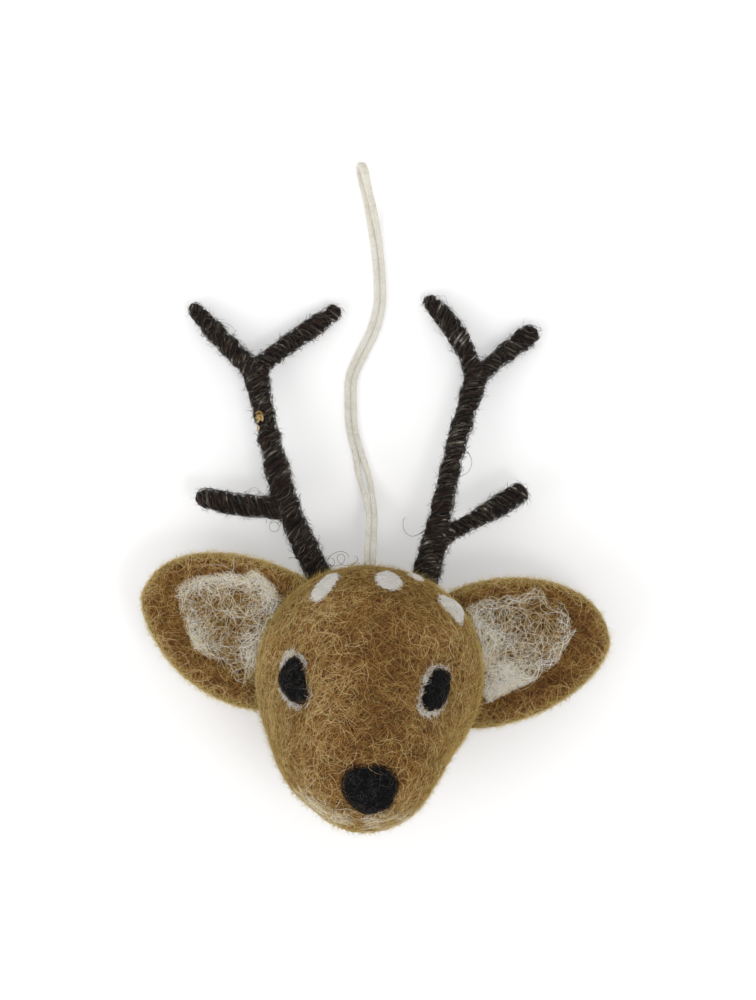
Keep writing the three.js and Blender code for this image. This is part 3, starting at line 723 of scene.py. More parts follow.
def made_by(name, mesh, tree, wool, sizes):
    """The piece that a tree of geometry nodes makes of a mesh, which is dropped afterwards."""
    source = bpy.data.objects.new(name + "_ground", mesh)
    scene.collection.objects.link(source)
    modifier = source.modifiers.new(name, "NODES")
    modifier.node_group = tree
    sockets = {key.replace("_", " ").title(): value for key, value in sizes.items()} | {"Wool": wool}
    for socket in tree.interface.items_tree:
        if socket.in_out == "INPUT" and socket.name in sockets:
            modifier[socket.identifier] = sockets[socket.name]
    seen = bpy.context.evaluated_depsgraph_get()
    made = bpy.data.meshes.new_from_object(source.evaluated_get(seen))
    bpy.data.objects.remove(source)
    made.name = name
    for spent in [value.name for value in made.attributes if value.name in ground_values]:
        made.attributes.remove(made.attributes[spent])
    made.materials.clear()
    return piece(name, made, wool)


wool_nodes = wool_tree()
per_mm2 = 1e6


def wool_on(name, mesh, wool, tones, thicker=1.0, **sizes):
    """A piece of fibres grown on a seeded mesh. Sizes are in mm, and density in fibres on a square mm."""
    sizes = {"points": 7, "stray": 0.0, "arch": 0.0, "stand": 0.0} | sizes
    for size in ("length", "wander", "lift", "arch", "stand", "radius"):
        sizes[size] *= mm
    sizes["density"] = sizes["density"] * per_mm2 * thicker
    sizes["tone_low"], sizes["tone_high"] = tones
    return made_by(name, mesh, wool_nodes, wool, sizes)


def wool_finish(name, stops, *shine):
    """Wool whose fibres differ in tone, each of one colour from end to end."""
    material, nodes, shader = finish(name, 0.85, *shine)
    tone = nodes.add("ShaderNodeAttribute", out="Fac", attribute_name="tone")
    nodes.join(shader.inputs["Base Color"], nodes.ramp(tone, stops))
    return material


thread_layers = ((380.0, 1.0), (520.0, 0.85), (700.0, 0.7), (900.0, 0.6))


def felt_finish(name, deep, middle, light, *shine):
    """Felt: fine curly fibres matted together, drawn as the level lines of soft noise."""
    material, nodes, shader = finish(name, 0.95, *shine)
    place = nodes.add("ShaderNodeTexCoord", out="Object")
    clouds = nodes.cloud(place, 150.0, 3.0)
    threads = 0.0
    for layer, (scale, weight) in enumerate(thread_layers):
        field = nodes.cloud(place + (0.31 * layer, 0.17 * layer, 0.23 * layer), scale, 1.0)
        thread = nodes.within(1 - nodes.work("ABSOLUTE", field - 0.5) * 20) * weight
        threads = nodes.work("MAXIMUM", threads, thread)
    mixed = clouds * 0.5 + threads * 0.55 - 0.1
    nodes.join(shader.inputs["Base Color"], nodes.ramp(mixed, [(0.12, deep), (0.45, middle), (0.85, light)]))
    matted = {"Height": threads, "Strength": 0.8, "Distance": 0.15 * mm}
    nodes.join(shader.inputs["Normal"], nodes.add("ShaderNodeBump", matted))
    return material


golden_bloom = 0.3, 0.2, tint(232, 200, 120)
# The felt under the loose fibres is darker than they are, though it is the same wool: partly painted shade in
# the gaps between the fibres.
tan_felt = felt_finish("tan_felt", (58, 30, 13), (100, 62, 30), (150, 106, 58), *golden_bloom)
tan_stops = [(0.0, (62, 33, 15)), (0.2, (110, 69, 33)), (0.4, (148, 103, 54)), (0.55, (164, 116, 64)),
             (0.7, (188, 150, 84)), (0.85, (210, 174, 112)), (1.0, (230, 202, 148))]
tan_wool = wool_finish("tan_wool", tan_stops, *golden_bloom)
# The standing fuzz is a paler, golden copy of the tan wool: painted light that the fuzz catches.
lit_haze_stops = [(0.0, (168, 142, 72)), (0.6, (208, 186, 106)), (1.0, (234, 216, 152))]
lit_tan_haze = wool_finish("lit_tan_haze", lit_haze_stops, *golden_bloom)
head_sides, head_steps = 220, 190
plain_places, egg_faces = egg(head_sides, head_steps)
head_places = felted(plain_places)
head = piece("felt_head", mesh_of("felt_head", head_places, egg_faces), tan_felt)
fixed(head, "head", "tan_felt", "head_felt")

tan_coat = {
    "deep": dict(density=0.95, length=3.6, bend=0.4, wander=0.8, lift=0.12, radius=0.058, points=4,
                 tones=(-0.05, 0.42)),
    "low": dict(density=0.9, length=4, bend=0.35, wander=0.65, lift=0.26, radius=0.05, points=4,
                tones=(0.1, 0.75)),
    "top": dict(density=0.64, length=4.3, bend=0.34, wander=0.65, lift=0.4, radius=0.042, points=5,
                tones=(0.35, 1.0), stray=0.04),
    "curl": dict(density=0.14, length=5, bend=0.7, wander=1.4, lift=0.5, arch=0.3, radius=0.043, points=8,
                 tones=(0.6, 1.0), stray=0.08),
    "haze": dict(density=1.65, length=1.8, bend=0.8, wander=1, lift=0.3, stand=2.1, radius=0.034, points=3,
                 tones=(0.0, 1.0), stray=0.03),
}


def tan_fibres(name, ground, seed, thicker=1.0):
    """Layers of loose tan fibres on a felt surface. ground makes a fresh seeded mesh for each."""
    for step, (layer, sizes) in enumerate(tan_coat.items()):
        colour, grown = lit_tan_haze if layer == "haze" else tan_wool, ground(name, layer)
        yield wool_on(f"{name}_wool_{layer}", grown, colour, thicker=thicker, seed=seed + step, **sizes)


# The coat runs down the cheeks and across the crown, is thinner underneath, and stops short of the
# table and of the pads.
left_side_painted_light, right_side_painted_light, patch, fleck = 0.28, 0.06, 0.24, 0.16
facing = head_normal(plain_places)
covered = np.zeros(len(plain_places))
for pad in all_pads:
    covered = np.maximum(covered, fade(pad.depth(plain_places), 0.05 * mm, 0.35 * mm))
# The coat's tone differs at random in patches and flecks. It is also painted paler where the head faces left,
# and a little where it faces right: painted light on its sides.
head_tone_and_painted_light = patch * noise_at(plain_places, 80, 5) + fleck * noise_at(plain_places, 240, 6)
head_tone_and_painted_light = head_tone_and_painted_light + left_side_painted_light * fade(facing[:, 0], 0, -1) + right_side_painted_light * fade(facing[:, 0], 0, 1)
cheek = np.clip(np.abs(plain_places[:, 0]) / mm / 8 - 1.2, 0, 1)
crown_side = np.clip(plain_places[:, 1] / mm / 6 - 1.5, 0, 1) * (1 - cheek)
lie = cheek[:, None] * (0, 1, 0) + crown_side[:, None] * (1, 0, 0)
lie = lie - facing * (lie * facing).sum(1)[:, None]
lie /= np.maximum(np.linalg.norm(lie, axis=1), 1e-3)[:, None]
head_cover = np.clip(plain_places[:, 2] / (2.5 * mm) - 1, 0, 1) * np.where(facing[:, 2] < -0.25, 0.55, 1)


def head_ground(name, layer):
    cover = head_cover * (1 - covered)
    if layer == "haze":
        cover = cover * np.clip(1.75 - 1.5 * facing[:, 2], 0.4, 1.6)
    return seeded(
        mesh_of(name, head_places, egg_faces), cover=cover, bare=covered, shade=head_tone_and_painted_light,
        follow=0.45 * np.maximum(cheek, crown_side), guide=lie,
    )


for wool in tan_fibres("head", head_ground, seed=11):
    fixed(wool, "head", "tan_felt")

# Nose, eyes and spots: pads of black or white wool, needled into the tan felt until they hold. Each
# is matted in the middle, and its short fibres cross its edge.
black_felt = felt_finish("black_felt", (9, 9, 10), (20, 20, 21), (46, 45, 44), 0.0, 0.15)
white_felt = felt_finish("white_felt", (204, 197, 184), (234, 230, 221), (249, 247, 242), 0.08)
black_stops = [(0.0, (10, 10, 11)), (0.5, (26, 26, 27)), (1.0, (96, 92, 88))]
black_wool = wool_finish("black_wool", black_stops, 0.0, 0.12)
white_stops = [(0.0, (212, 204, 190)), (0.5, (238, 234, 226)), (1.0, (250, 248, 245))]
white_wool = wool_finish("white_wool", white_stops, 0.1)


def disc(outline, middle, reaches):
    """Places that fill an outline from a middle, ring by ring, how far out they are, and the faces."""
    flat = np.concatenate([middle[None], *(middle + (outline - middle) * reach for reach in reaches)])
    reach = np.concatenate([[0], np.repeat(reaches, len(outline))])
    return flat, reach, bands(len(reaches), len(outline))


def lens(name, front, back, sides, faces):
    """A closed pad of a front and a back that meet at their last ring."""
    inner, count = len(front) - sides, len(front)
    under = [tuple(i if i >= inner else count + i for i in reversed(face)) for face in faces]
    return mesh_of(name, np.concatenate([front, back[:inner]]), [*faces, *under])


def rings(count):
    """How far out the rings of a pad are, closer together towards its edge."""
    return 1 - (1 - np.arange(1, count + 1) / count) ** 1.6


def pad_face(pad, reaches, height):
    """A face over a pad, height giving how far it stands off the felt for how far out it is."""
    flat, reach, faces = disc(pad.outline, pad.middle, reaches)
    plain = pad.over(flat)
    return felted(plain) + head_normal(plain) * height(reach)[:, None], flat, reach, faces


pad_rings, pad_proud, pad_tuck, pad_under, pad_deep = 14, 0.14, 0.3, 0.16, 0.5
hair_rings, hair_clear = 21, 0.03


def pad_front(reach):
    """How far a pad's front stands off the felt. Its edge is tucked in."""
    return (pad_proud - pad_tuck * reach**8) * mm


def pad_back(reach):
    return -(pad_under + pad_deep * (1 - reach**2)) * mm


def pad_hair(reach):
    return np.maximum(pad_front(np.minimum(reach, 1)), hair_clear * mm)


def pad_piece(name, pad, felt, node, slot):
    """A pad's matted body, closed at the back, which is needled into the head."""
    front, _, _, faces = pad_face(pad, rings(pad_rings), pad_front)
    back, _, _, _ = pad_face(pad, rings(pad_rings), pad_back)
    thing = piece(name, lens(name, front, back, len(pad.outline), faces), felt)
    fixed(thing, "head", slot, node)


def pad_fibres(name, pad, wool, slot, *replaced, grow=1.3, cover=None, follow=0.0, patchy=0.0, **sizes):
    """Fibres on a pad and just past its edge. cover takes how far out and which way from its middle."""
    places, flat, reach, faces = pad_face(pad, np.linspace(0, grow, hair_rings + 1)[1:], pad_hair)
    off = flat - pad.middle
    turn = np.degrees(np.arctan2(off[:, 1], off[:, 0])) % 360
    amount = cover(reach, turn) if cover else fade(reach, 1.07, -0.12)
    amount = amount * np.clip(1 + patchy * noise_at(places, 900, 4), 0, 2)
    round_it = np.cross(head_normal(places), places - places[0])
    round_it /= np.maximum(np.linalg.norm(round_it, axis=1), 1e-9)[:, None]
    ground = seeded(mesh_of(name, places, faces), cover=amount, follow=follow, guide=round_it)
    fixed(wool_on(name, ground, wool, **sizes), "head", slot, *replaced)


black_hair = dict(density=4, length=2.2, bend=0.8, wander=1.6, lift=0.3, stand=0.6, radius=0.05, points=6,
                  tones=(0.0, 0.8))
white_hair = dict(density=7, length=1.9, bend=0.7, wander=1.2, lift=0.28, stand=0.4, radius=0.05,
                  tones=(0.3, 1.0))
pad_piece("black_nose", nose_pad, black_felt, "nose", "black_wool")
pad_fibres("nose_wool", nose_pad, black_wool, "black_wool", seed=31, **black_hair)
for step, (side, pad) in enumerate(eye_pads.items()):
    pad_piece(f"{side}_black_eye", pad, black_felt, f"{side}_eye", "black_wool")
    pad_fibres(f"{side}_eye_wool", pad, black_wool, "black_wool", seed=32 + step, **black_hair)
for step, (place, pad) in enumerate(spot_pads.items()):
    pad_piece(f"{place}_white_spot", pad, white_felt, f"{place}_spot", "white_wool")
    pad_fibres(f"{place}_spot_wool", pad, white_wool, "white_wool", seed=35 + step, **white_hair)

# Eye rims: a little loose white wool needled round each eye. It is thick above the eye and on one
# side, and almost nothing on the other. A rim is given by degrees: how much wool, and how far out.
rim_edge = 0.06
rim_angles = (0, 40, 60, 85, 105, 125, 150, 180, 220, 262, 285, 330)
rim_shapes = {
    "left": ((0.03, 0.15, 0.5, 0.3, 1, 0.7, 0.12, 0.15, 0.35, 0.7, 0.12, 0.05),
             (1.1, 1.2, 1.3, 1.22, 1.38, 1.3, 1.15, 1.12, 1.2, 1.4, 1.24, 1.15)),
    "right": ((0.16, 0.2, 0.4, 0.5, 0.8, 1, 0.7, 0.3, 0.6, 0.8, 0.2, 0.1),
              (1.1, 1.14, 1.24, 1.26, 1.32, 1.44, 1.36, 1.2, 1.26, 1.4, 1.2, 1.12)),
}
rim_hair = dict(density=17, length=1.9, bend=0.6, wander=1.1, lift=0.55, stand=0.4, radius=0.042,
                tones=(0.0, 0.9))
for step, (side, (amounts, reaches)) in enumerate(rim_shapes.items()):
    def rim_cover(reach, turn):
        limit = np.interp(turn, rim_angles, reaches, period=360)
        edges = fade(reach, 1, rim_edge) * fade(limit - reach, 0, rim_edge)
        return edges * np.interp(turn, rim_angles, amounts, period=360)

    pad_fibres(
        f"{side}_rim_wool", eye_pads[side], white_wool, "white_wool", f"{side}_eye_rim", grow=1.75,
        cover=rim_cover, follow=0.5, patchy=1.6, seed=41 + step, **rim_hair,
    )

# Chin: thin pale wool needled under the muzzle, fuller underneath and in wisps up to the nose and
# along the left of the jaw. A wisp is a place, a width and a height in mm, and how much wool.
pale_stops = [(0.0, (194, 164, 108)), (0.3, (231, 214, 172)), (0.6, (247, 240, 219)), (1.0, (254, 252, 247))]
pale_wool = wool_finish("pale_wool", pale_stops, 0.1)
chin_wisps = ((-15.5, -25.5, 2.2, 1.6, 0.6), (-12, -28, 2.8, 1.5, 1.3), (-7, -30.4, 2.8, 1.3, 1.2),
              (1.4, -30.6, 1.8, 1.4, 1.6), (6.5, -30.2, 2.6, 1.1, 0.5))
chin_height, chin_from, chin_over, chin_thin = 40 * mm, -24, -3, 0.4
under_chin = plain_places[:, 2] < chin_height
chin_cover = chin_thin * fade(plain_places[:, 1] / mm, chin_from, chin_over) * under_chin
for x, y, wide, high, amount in chin_wisps:
    off = ((plain_places[:, 0] / mm - x) / wide) ** 2 + ((plain_places[:, 1] / mm - y) / high) ** 2
    chin_cover = np.maximum(chin_cover, amount * np.exp(-off) * ~under_chin)
chin_ground = seeded(mesh_of("chin", head_places, egg_faces), cover=chin_cover, bare=covered)
chin = wool_on(
    "chin_wool", chin_ground, pale_wool, seed=51, density=3.2, length=4.2, bend=0.6, wander=1.4, lift=0.6,
    stand=0.4, radius=0.045, tones=(0.0, 0.8),
)
fixed(chin, "head", "pale_wool", "chin_patch")

# Ears: thick cupped flaps of the same tan felt, needled to the sides of the head at their roots,
# where they flex. The edge is rolled and fuzzy.
ears = {
    "left": dict(heading=160, upper_swell=17.5, lower_swell=21, upper_tip=14, lower_tip=4.8),
    "right": dict(heading=9, upper_swell=19.3, lower_swell=17.5, upper_tip=14.5, lower_tip=6),
}
ear_length, ear_sides, ear_rings = 28, 120, 20
ear_shoulder, ear_cheek, ear_root_half = 6, 12.5, 14
ear_thickness, ear_squareness, ear_hollow, ear_cup, ear_set_back = 4.4, 6, 11.5, 3.2, 3.8
ear_lump, ear_fine_lump, ear_fuller = 0.28, 0.12, 1.3
ear_tilt = math.radians(6)
ear_flex_from, ear_flex_to = -2, 7
# The left ear's wool is painted paler: painted light from the left.
ear_painted_light = {"left": 0.12, "right": 0.0}
# How much paler the rolled rim is painted, a painted highlight; how much darker the cupped front is painted,
# painted shade; and random patches of tone.
rim_painted_highlight, hollow_painted_shade, ear_patch = 0.34, 0.18, 0.16


def bent(points, steps=40):
    """A Bezier curve of four points."""
    a, b, c, d = (np.array(p, float) for p in points)
    t = np.linspace(0, 1, steps, endpoint=False)[:, None]
    return (1 - t) ** 3 * a + 3 * (1 - t) ** 2 * t * b + 3 * (1 - t) * t**2 * c + t**3 * d


class Ear:
    """An ear's own directions and outline, and its two faces."""

    def __init__(self, side, heading, upper_swell, lower_swell, upper_tip, lower_tip):
        turn = math.radians(heading)
        level = np.array((math.cos(turn), math.sin(turn), 0))
        self.side = side
        self.along = level * math.cos(ear_tilt) - np.array((0, 0, math.sin(ear_tilt)))
        self.across = np.array((-math.sin(turn), math.cos(turn), 0))
        self.out = np.cross(self.along, self.across)
        root_radius = math.sqrt((cranium_radius / mm) ** 2 - ear_set_back**2)
        self.root = np.array(cranium) / mm + level * root_radius - np.array((0, 0, ear_set_back))
        inner, tip = -ear_root_half / 2, (ear_length, 0)
        lower = [(inner, -ear_root_half), (ear_cheek, -lower_swell), (ear_length, -lower_tip), tip]
        upper = [tip, (ear_length, upper_tip), (ear_shoulder, upper_swell), (inner, ear_root_half)]
        corners = np.concatenate([bent(lower), bent(upper), [(inner, ear_root_half)]])
        if side == "left":
            corners = (corners * (1, -1))[::-1]
        outline = even_round(corners, ear_sides)
        self.flat, self.reach, self.faces = disc(outline, np.array((ear_hollow, 0.0)), rings(ear_rings))
        self.front, self.back = self.face(1), self.face(-1)

    def face(self, which):
        half = ear_thickness / 2 * np.sqrt(1 - np.minimum(self.reach, 1) ** ear_squareness)
        rise = ear_cup * (self.reach**2 - 1) + which * half
        places = self.root + self.flat[:, :1] * self.along + self.flat[:, 1:] * self.across
        places = places + rise[:, None] * self.out
        lumps = ear_lump * noise_at(places, 0.16, 8) + ear_fine_lump * noise_at(places, 0.42, 9)
        return (places + lumps[:, None] * self.out) * mm

    def flap(self, name):
        return lens(name, self.front, self.back, ear_sides, self.faces)

    def bend(self, thing, slot, *replaced):
        """Lets a piece of the ear flex from its root, with the head before it and the ear past it."""
        start, end = (tuple((self.root + off * self.along) * mm) for off in (ear_flex_from, ear_flex_to))
        if replaced:
            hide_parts(*replaced)
        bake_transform(thing, "head", f"{self.side}_ear_flap", start=start, end=end)


clear_of_head = 0.2 * mm, 0.8 * mm
flaps = {side: Ear(side, **shape) for side, shape in ears.items()}
for step, (side, ear) in enumerate(flaps.items()):
    flap = piece(f"{side}_felt_ear", ear.flap(f"{side}_felt_ear"), tan_felt)
    ear.bend(flap, "tan_felt", f"{side}_ear")

    def ear_ground(name, layer):
        mesh = ear.flap(name)
        places = np.array([v.co for v in mesh.vertices])
        reach = np.concatenate([ear.reach, ear.reach[:-ear_sides]])
        inside = np.concatenate([np.ones(len(ear.reach)), np.zeros(len(ear.reach) - ear_sides)])
        # The cupped front is painted darker, as painted shade in the hollow.
        shade = ear_painted_light[side] + rim_painted_highlight * fade(reach, 0.76, 0.2) - hollow_painted_shade * inside
        shade = shade + ear_patch * noise_at(places, 120, 7)
        cover = fade(head_distance(places), *clear_of_head)
        if layer == "haze":
            cover = cover * (0.25 + 6 * fade(reach, 0.92, 0.06))
        return seeded(mesh, cover=cover, shade=shade)

    for wool in tan_fibres(f"{side}_ear", ear_ground, seed=61 + 7 * step, thicker=ear_fuller):
        ear.bend(wool, "tan_felt")

# Ear linings: a net of pale curly wool needled into the hollow of each ear. It is thickest along its
# own edges, and the tan felt shows between its fibres. It is fuller or, below nought, thinner at
# some places, each given with its width in mm.
lining_outlines = {
    "left": [(-41.6, 18.5), (-38, 20.9), (-30, 22), (-27.2, 20.9), (-24.8, 22.6), (-21.1, 19.4),
             (-18.8, 15.4), (-20.8, 12), (-23.4, 8), (-24.4, 2.9), (-26.6, -2.3), (-34.4, 4.4),
             (-37.3, 5.8), (-39.7, 11.8)],
    "right": [(21.1, 15), (26.4, 16.8), (32, 17), (35.2, 19), (40.4, 15.5), (44.1, 9.6), (42.9, 7.9),
              (39.9, 3.2), (36, -0.2), (32, -2), (28.1, -3.9), (25.4, -5.3), (24.2, -3.4), (23.9, 0.3),
              (24.2, 3.2), (22.7, 8.6)],
}
lining_fuller = {
    "left": ((-22.5, 18.5, 3, 2.1), (-37, 7, 3, 1.2), (-24.6, 3.6, 1.8, 2), (-33, 20, 4, 0.5),
             (-26, 8, 3, 0.8), (-29, 0, 4, -0.75)),
    "right": ((30, -0.5, 3.5, 1.9), (26, -3, 2.5, 0.6), (24, 9, 4, 1.2), (28.5, 5, 5.5, 1.3),
              (37, 15, 6, -0.7)),
}
lining_thin, lining_edge, lining_edge_wide, lining_patchy = 0.42, 3.2, 0.7, 1.8
lining_layers = {
    "net": dict(density=2.75, length=5, bend=0.4, wander=1.2, lift=0.6, arch=0.35, radius=0.046,
                tones=(0.05, 1.0)),
    "loops": dict(density=0.07, length=8, bend=1.2, wander=1.8, lift=0.6, arch=0.4, radius=0.04, points=12,
                  tones=(0.1, 0.8), stray=0.3),
}
for step, (side, ear) in enumerate(flaps.items()):
    depth, run = near_edge(np.array(lining_outlines[side]), ear.front[:, :2] / mm)
    cover = lining_thin + lining_edge * np.exp(-np.maximum(depth, 0) / lining_edge_wide)
    cover = fade(depth, 0, 0.4) * cover
    for x, y, wide, more in lining_fuller[side]:
        off = ((ear.front[:, :2] / mm - (x, y)) ** 2).sum(1) / wide**2
        cover = cover * (1 + more * np.exp(-off))
    cover = cover * np.clip(1 + lining_patchy * noise_at(ear.front, 620, 21), 0.1, 2.4)
    cover = cover * fade(head_distance(ear.front), *clear_of_head)
    grown = dict(
        cover=cover, bare=np.clip(-depth / 0.8 - 0.6, 0, 1), shade=np.clip(0.6 * (cover - 0.75), -0.34, 0.32),
        follow=0.3 + 0.5 * np.exp(-np.abs(depth) / 1.1), guide=np.pad(run, ((0, 0), (0, 1))),
    )
    for number, (layer, sizes) in enumerate(lining_layers.items()):
        name = f"{side}_lining_{layer}"
        ground = seeded(mesh_of(name, ear.front, ear.faces), **grown)
        wool = wool_on(name, ground, pale_wool, seed=81 + 2 * number + step, **sizes)
        ear.bend(wool, "pale_wool", *([f"{side}_ear_lining"] if layer == "net" else []))

# Antlers: dark wool yarn, black with grey and red-brown fibres in it, wound in slanting bands over
# bent wire. It is uneven and hairy, and ends in a rounded tip on each tine. A root is given by
# degrees on the head, the limbs from there in mm, and thick is the yarn's radius along each limb.
yarn_slant = math.radians(23)
yarn_sizes = dict(pitch=5.7 * mm, groove=0.85 * mm, lump=1.6 * mm, radius=0.17 * mm, plies=30, bands=3)
fork_height, tip_height = 6.5, 2.8
limb_step, limb_uneven, tip_round = 0.35, 0.2, 1.5
antlers = {
    "left": dict(
        root=(-125, 58), beam=[(-7.1, 15.7), (-10.5, 28.2), (-14.2, 45.1)],
        tines=dict(brow=((-17.8, 15.3), (-26.6, 18.2), 9), outer=((-21.2, 50.9), (-27.9, 59.2), tip_height),
                   inner=((-7.2, 50.9), (4, 58.3), tip_height)),
        thick=dict(beam=(2.5, 2.55, 2.5, 2.45, 2.3, 2.05, 2.4), brow=(2.3, 2.35, 2.15, 2.15, 1.8),
                   outer=(2.2, 1.95, 1.9, 1.35), inner=(2.1, 1.75, 1.85, 2.05, 1.4)),
    ),
    "right": dict(
        root=(118.9, 56.7), beam=[(2.3, 8.9), (6.7, 28.5), (11, 43.3)],
        tines=dict(brow=((12.4, 13.6), (21.6, 19.8), 10), outer=((16, 48.4), (24.2, 54), tip_height),
                   inner=((8.7, 53.5), (0.3, 61), tip_height)),
        thick=dict(beam=(2.55, 2.6, 2.15, 1.9, 1.95, 2, 2.3), brow=(2.1, 1.65, 1.7, 2.25, 2.2),
                   outer=(1.9, 1.75, 1.85, 2.05, 2.0), inner=(1.95, 1.9, 2.0, 1.8, 1.35)),
    ),
}


def wound_tree():
    """Yarn wound round a limb: bands of plies side by side over a dark core."""
    sizes, counts = ("Pitch", "Groove", "Lump", "Radius"), ("Plies", "Bands", "Seed")
    tree, nodes, limb = new_tree("wound_yarn", sizes, counts)
    seed = limb.also("Seed") * 17
    middle_line = nodes.add("GeometryNodeMeshToCurve", {"Mesh": limb})
    copies = {"Geometry": middle_line, "Amount": limb.also("Plies")}
    plies = nodes.add("GeometryNodeDuplicateElements", copies, domain="SPLINE")
    ply = plies.also("Duplicate Index")
    share = ply / limb.also("Plies")
    across = nodes.work("FRACT", share * limb.also("Bands")) * 2 - 1
    turn = (nodes.read("along") / limb.also("Pitch") + share) * (2 * math.pi)
    run, aside = nodes.add("GeometryNodeInputTangent"), nodes.add("GeometryNodeInputNormal")
    out = aside * nodes.work("COSINE", turn)
    out = out + nodes.work("CROSS_PRODUCT", run, aside) * nodes.work("SINE", turn)
    middle, thick = nodes.add("GeometryNodeInputPosition"), nodes.read("thick")
    skin = middle + out * thick
    lumps, loose = nodes.cloud(skin, 380.0), nodes.cloud(skin + (1.0, 2.0, 3.0) * share, 500.0)
    edge = across * 0.5 + 0.5
    reach = thick - limb.also("Radius") - edge * edge * limb.also("Groove")
    reach = reach + (lumps + loose - 1) * limb.also("Lump")
    tone = nodes.chance(0.0, 0.7, seed + 1, ID=ply) + (loose + lumps - 1) * 1.1
    plies = nodes.keep(plies, "tone", nodes.within(tone))
    place = middle + out * nodes.work("MAXIMUM", reach, 0.0)
    plies = nodes.add("GeometryNodeSetPosition", {"Geometry": plies, "Position": place})
    plies = nodes.keep(plies, "at_thick", limb.also("Radius") * nodes.chance(0.7, 1.3, seed + 2, ID=ply))
    core = nodes.keep(middle_line, "tone", 0.0)
    made = [nodes.tubes(plies, 4, nodes.read("at_thick")), nodes.tubes(core, 10, thick * 0.82)]
    nodes.end(nodes.add("GeometryNodeJoinGeometry", {"Geometry": made}), limb.also("Wool"))
    return tree


def limb_lines(root, beam, tines, thick):
    """The middle line of each limb of an antler, and the yarn's thickness along it."""
    foot, fork = head_spot(*root) / mm, beam[-1]

    def at(place, height=None):
        level = foot[2] + (fork_height - foot[2]) * place[1] / fork[1] if height is None else height
        return np.array((foot[0] + place[0], foot[1] + place[1], level))

    main = through([foot, *(at(place) for place in beam)], limb_step)
    back = (main[0] - main[1]) / np.linalg.norm(main[0] - main[1])
    hidden = main[0] + back * np.arange(4 * limb_step, 0.1, -limb_step)[:, None]
    lines = {"beam": np.concatenate([hidden, main])}
    for name, (via, end, height) in tines.items():
        start = at(beam[0] if name == "brow" else fork)
        share = np.linspace(0, 1, 60)[:, None]
        turn, tip = at(via, (start[2] + height) / 2), at(end, height)
        arc = (1 - share) ** 2 * start + 2 * share * (1 - share) * turn + share**2 * tip
        lines[name] = evenly(arc, limb_step)
    for name, line in lines.items():
        along = lengths(line)
        radii = np.interp(along / along[-1], np.linspace(0, 1, len(thick[name])), thick[name])
        radii = radii * (1 + limb_uneven * noise_at(line, 0.5, 3))
        tip = fade(along - along[-1], -tip_round, tip_round) if name != "beam" else 0 * along
        yield name, line * mm, radii * np.sqrt(1 - 0.985 * tip**2) * mm


def joined(tubes):
    """The corners and faces of several tubes as one."""
    faces, count = [], 0
    for corners, around in tubes:
        faces += [tuple(i + count for i in face) for face in around]
        count += len(corners)
    return np.concatenate([corners for corners, _ in tubes]), faces


dark_stops = [(0.0, (10, 9, 8)), (0.3, (26, 23, 20)), (0.5, (62, 39, 32)), (0.65, (64, 61, 50)),
              (0.82, (104, 98, 86)), (1.0, (184, 177, 164))]
dark_wool = wool_finish("dark_wool", dark_stops, 0.05, 0.15)
beam_wraps = ("lower_beam", "upper_beam", "brow_crotch", "fork_crotch")
antler_layers = {
    "fibres": dict(density=1.4, length=3.6, bend=0.4, wander=1.2, lift=0.4, radius=0.034, tones=(0.0, 0.95)),
    "fuzz": dict(density=3, length=1.8, bend=0.8, wander=1.1, lift=0.3, stand=1.9, radius=0.034, points=4,
                 tones=(0.0, 0.6)),
    "curls": dict(density=0.03, length=6, bend=1.6, wander=1.4, lift=0.3, arch=1.8, radius=0.035, points=12,
                  tones=(0.2, 0.8)),
}
wound_nodes = wound_tree()
limb_sides = 14
root_fuller, root_wide, hair_height = 1.2, 5 * mm, 2.3 * mm
for step, (side, shape) in enumerate(antlers.items()):
    shells, guides = [], []
    for number, (limb, line, radii) in enumerate(limb_lines(**shape)):
        name = f"{side}_{limb}_yarn"
        wire = mesh_of(name, line, [], [(i, i + 1) for i in range(len(line) - 1)])
        store(wire, "thick", radii)
        store(wire, "along", lengths(line))
        yarn = made_by(name, wire, wound_nodes, dark_wool, yarn_sizes | {"seed": 91 + 4 * step + number})
        wraps = beam_wraps if limb == "beam" else [f"{limb}_tine"]
        fixed(yarn, f"{side}_antler", "dark_yarn", *(f"{side}_{wrap}_wrap" for wrap in wraps))
        run, out = spokes(line, limb_sides)
        around = np.cross(run[:, None], out) * math.cos(yarn_slant)
        guides.append((around + run[:, None] * math.sin(yarn_slant)).reshape(-1, 3))
        shells.append(tube(line, limb_sides, radii[:, None] * 0.97))
    places, faces = joined(shells)
    slants, off = np.concatenate(guides), head_distance(places)
    clear = fade(off, 0.3 * mm, 0.5 * mm) * (1 + root_fuller * np.exp(-np.maximum(off, 0) / root_wide))
    clear = clear * fade(places[:, 2], hair_height, mm)
    for number, (layer, sizes) in enumerate(antler_layers.items()):
        name = f"{side}_antler_{layer}"
        follow = 0.75 if layer == "fibres" else 0.2
        ground = seeded(mesh_of(name, places, faces), cover=clear, follow=follow, guide=slants)
        wool = wool_on(name, ground, dark_wool, seed=101 + 2 * number + step, **sizes)
        fixed(wool, f"{side}_antler", "dark_yarn")

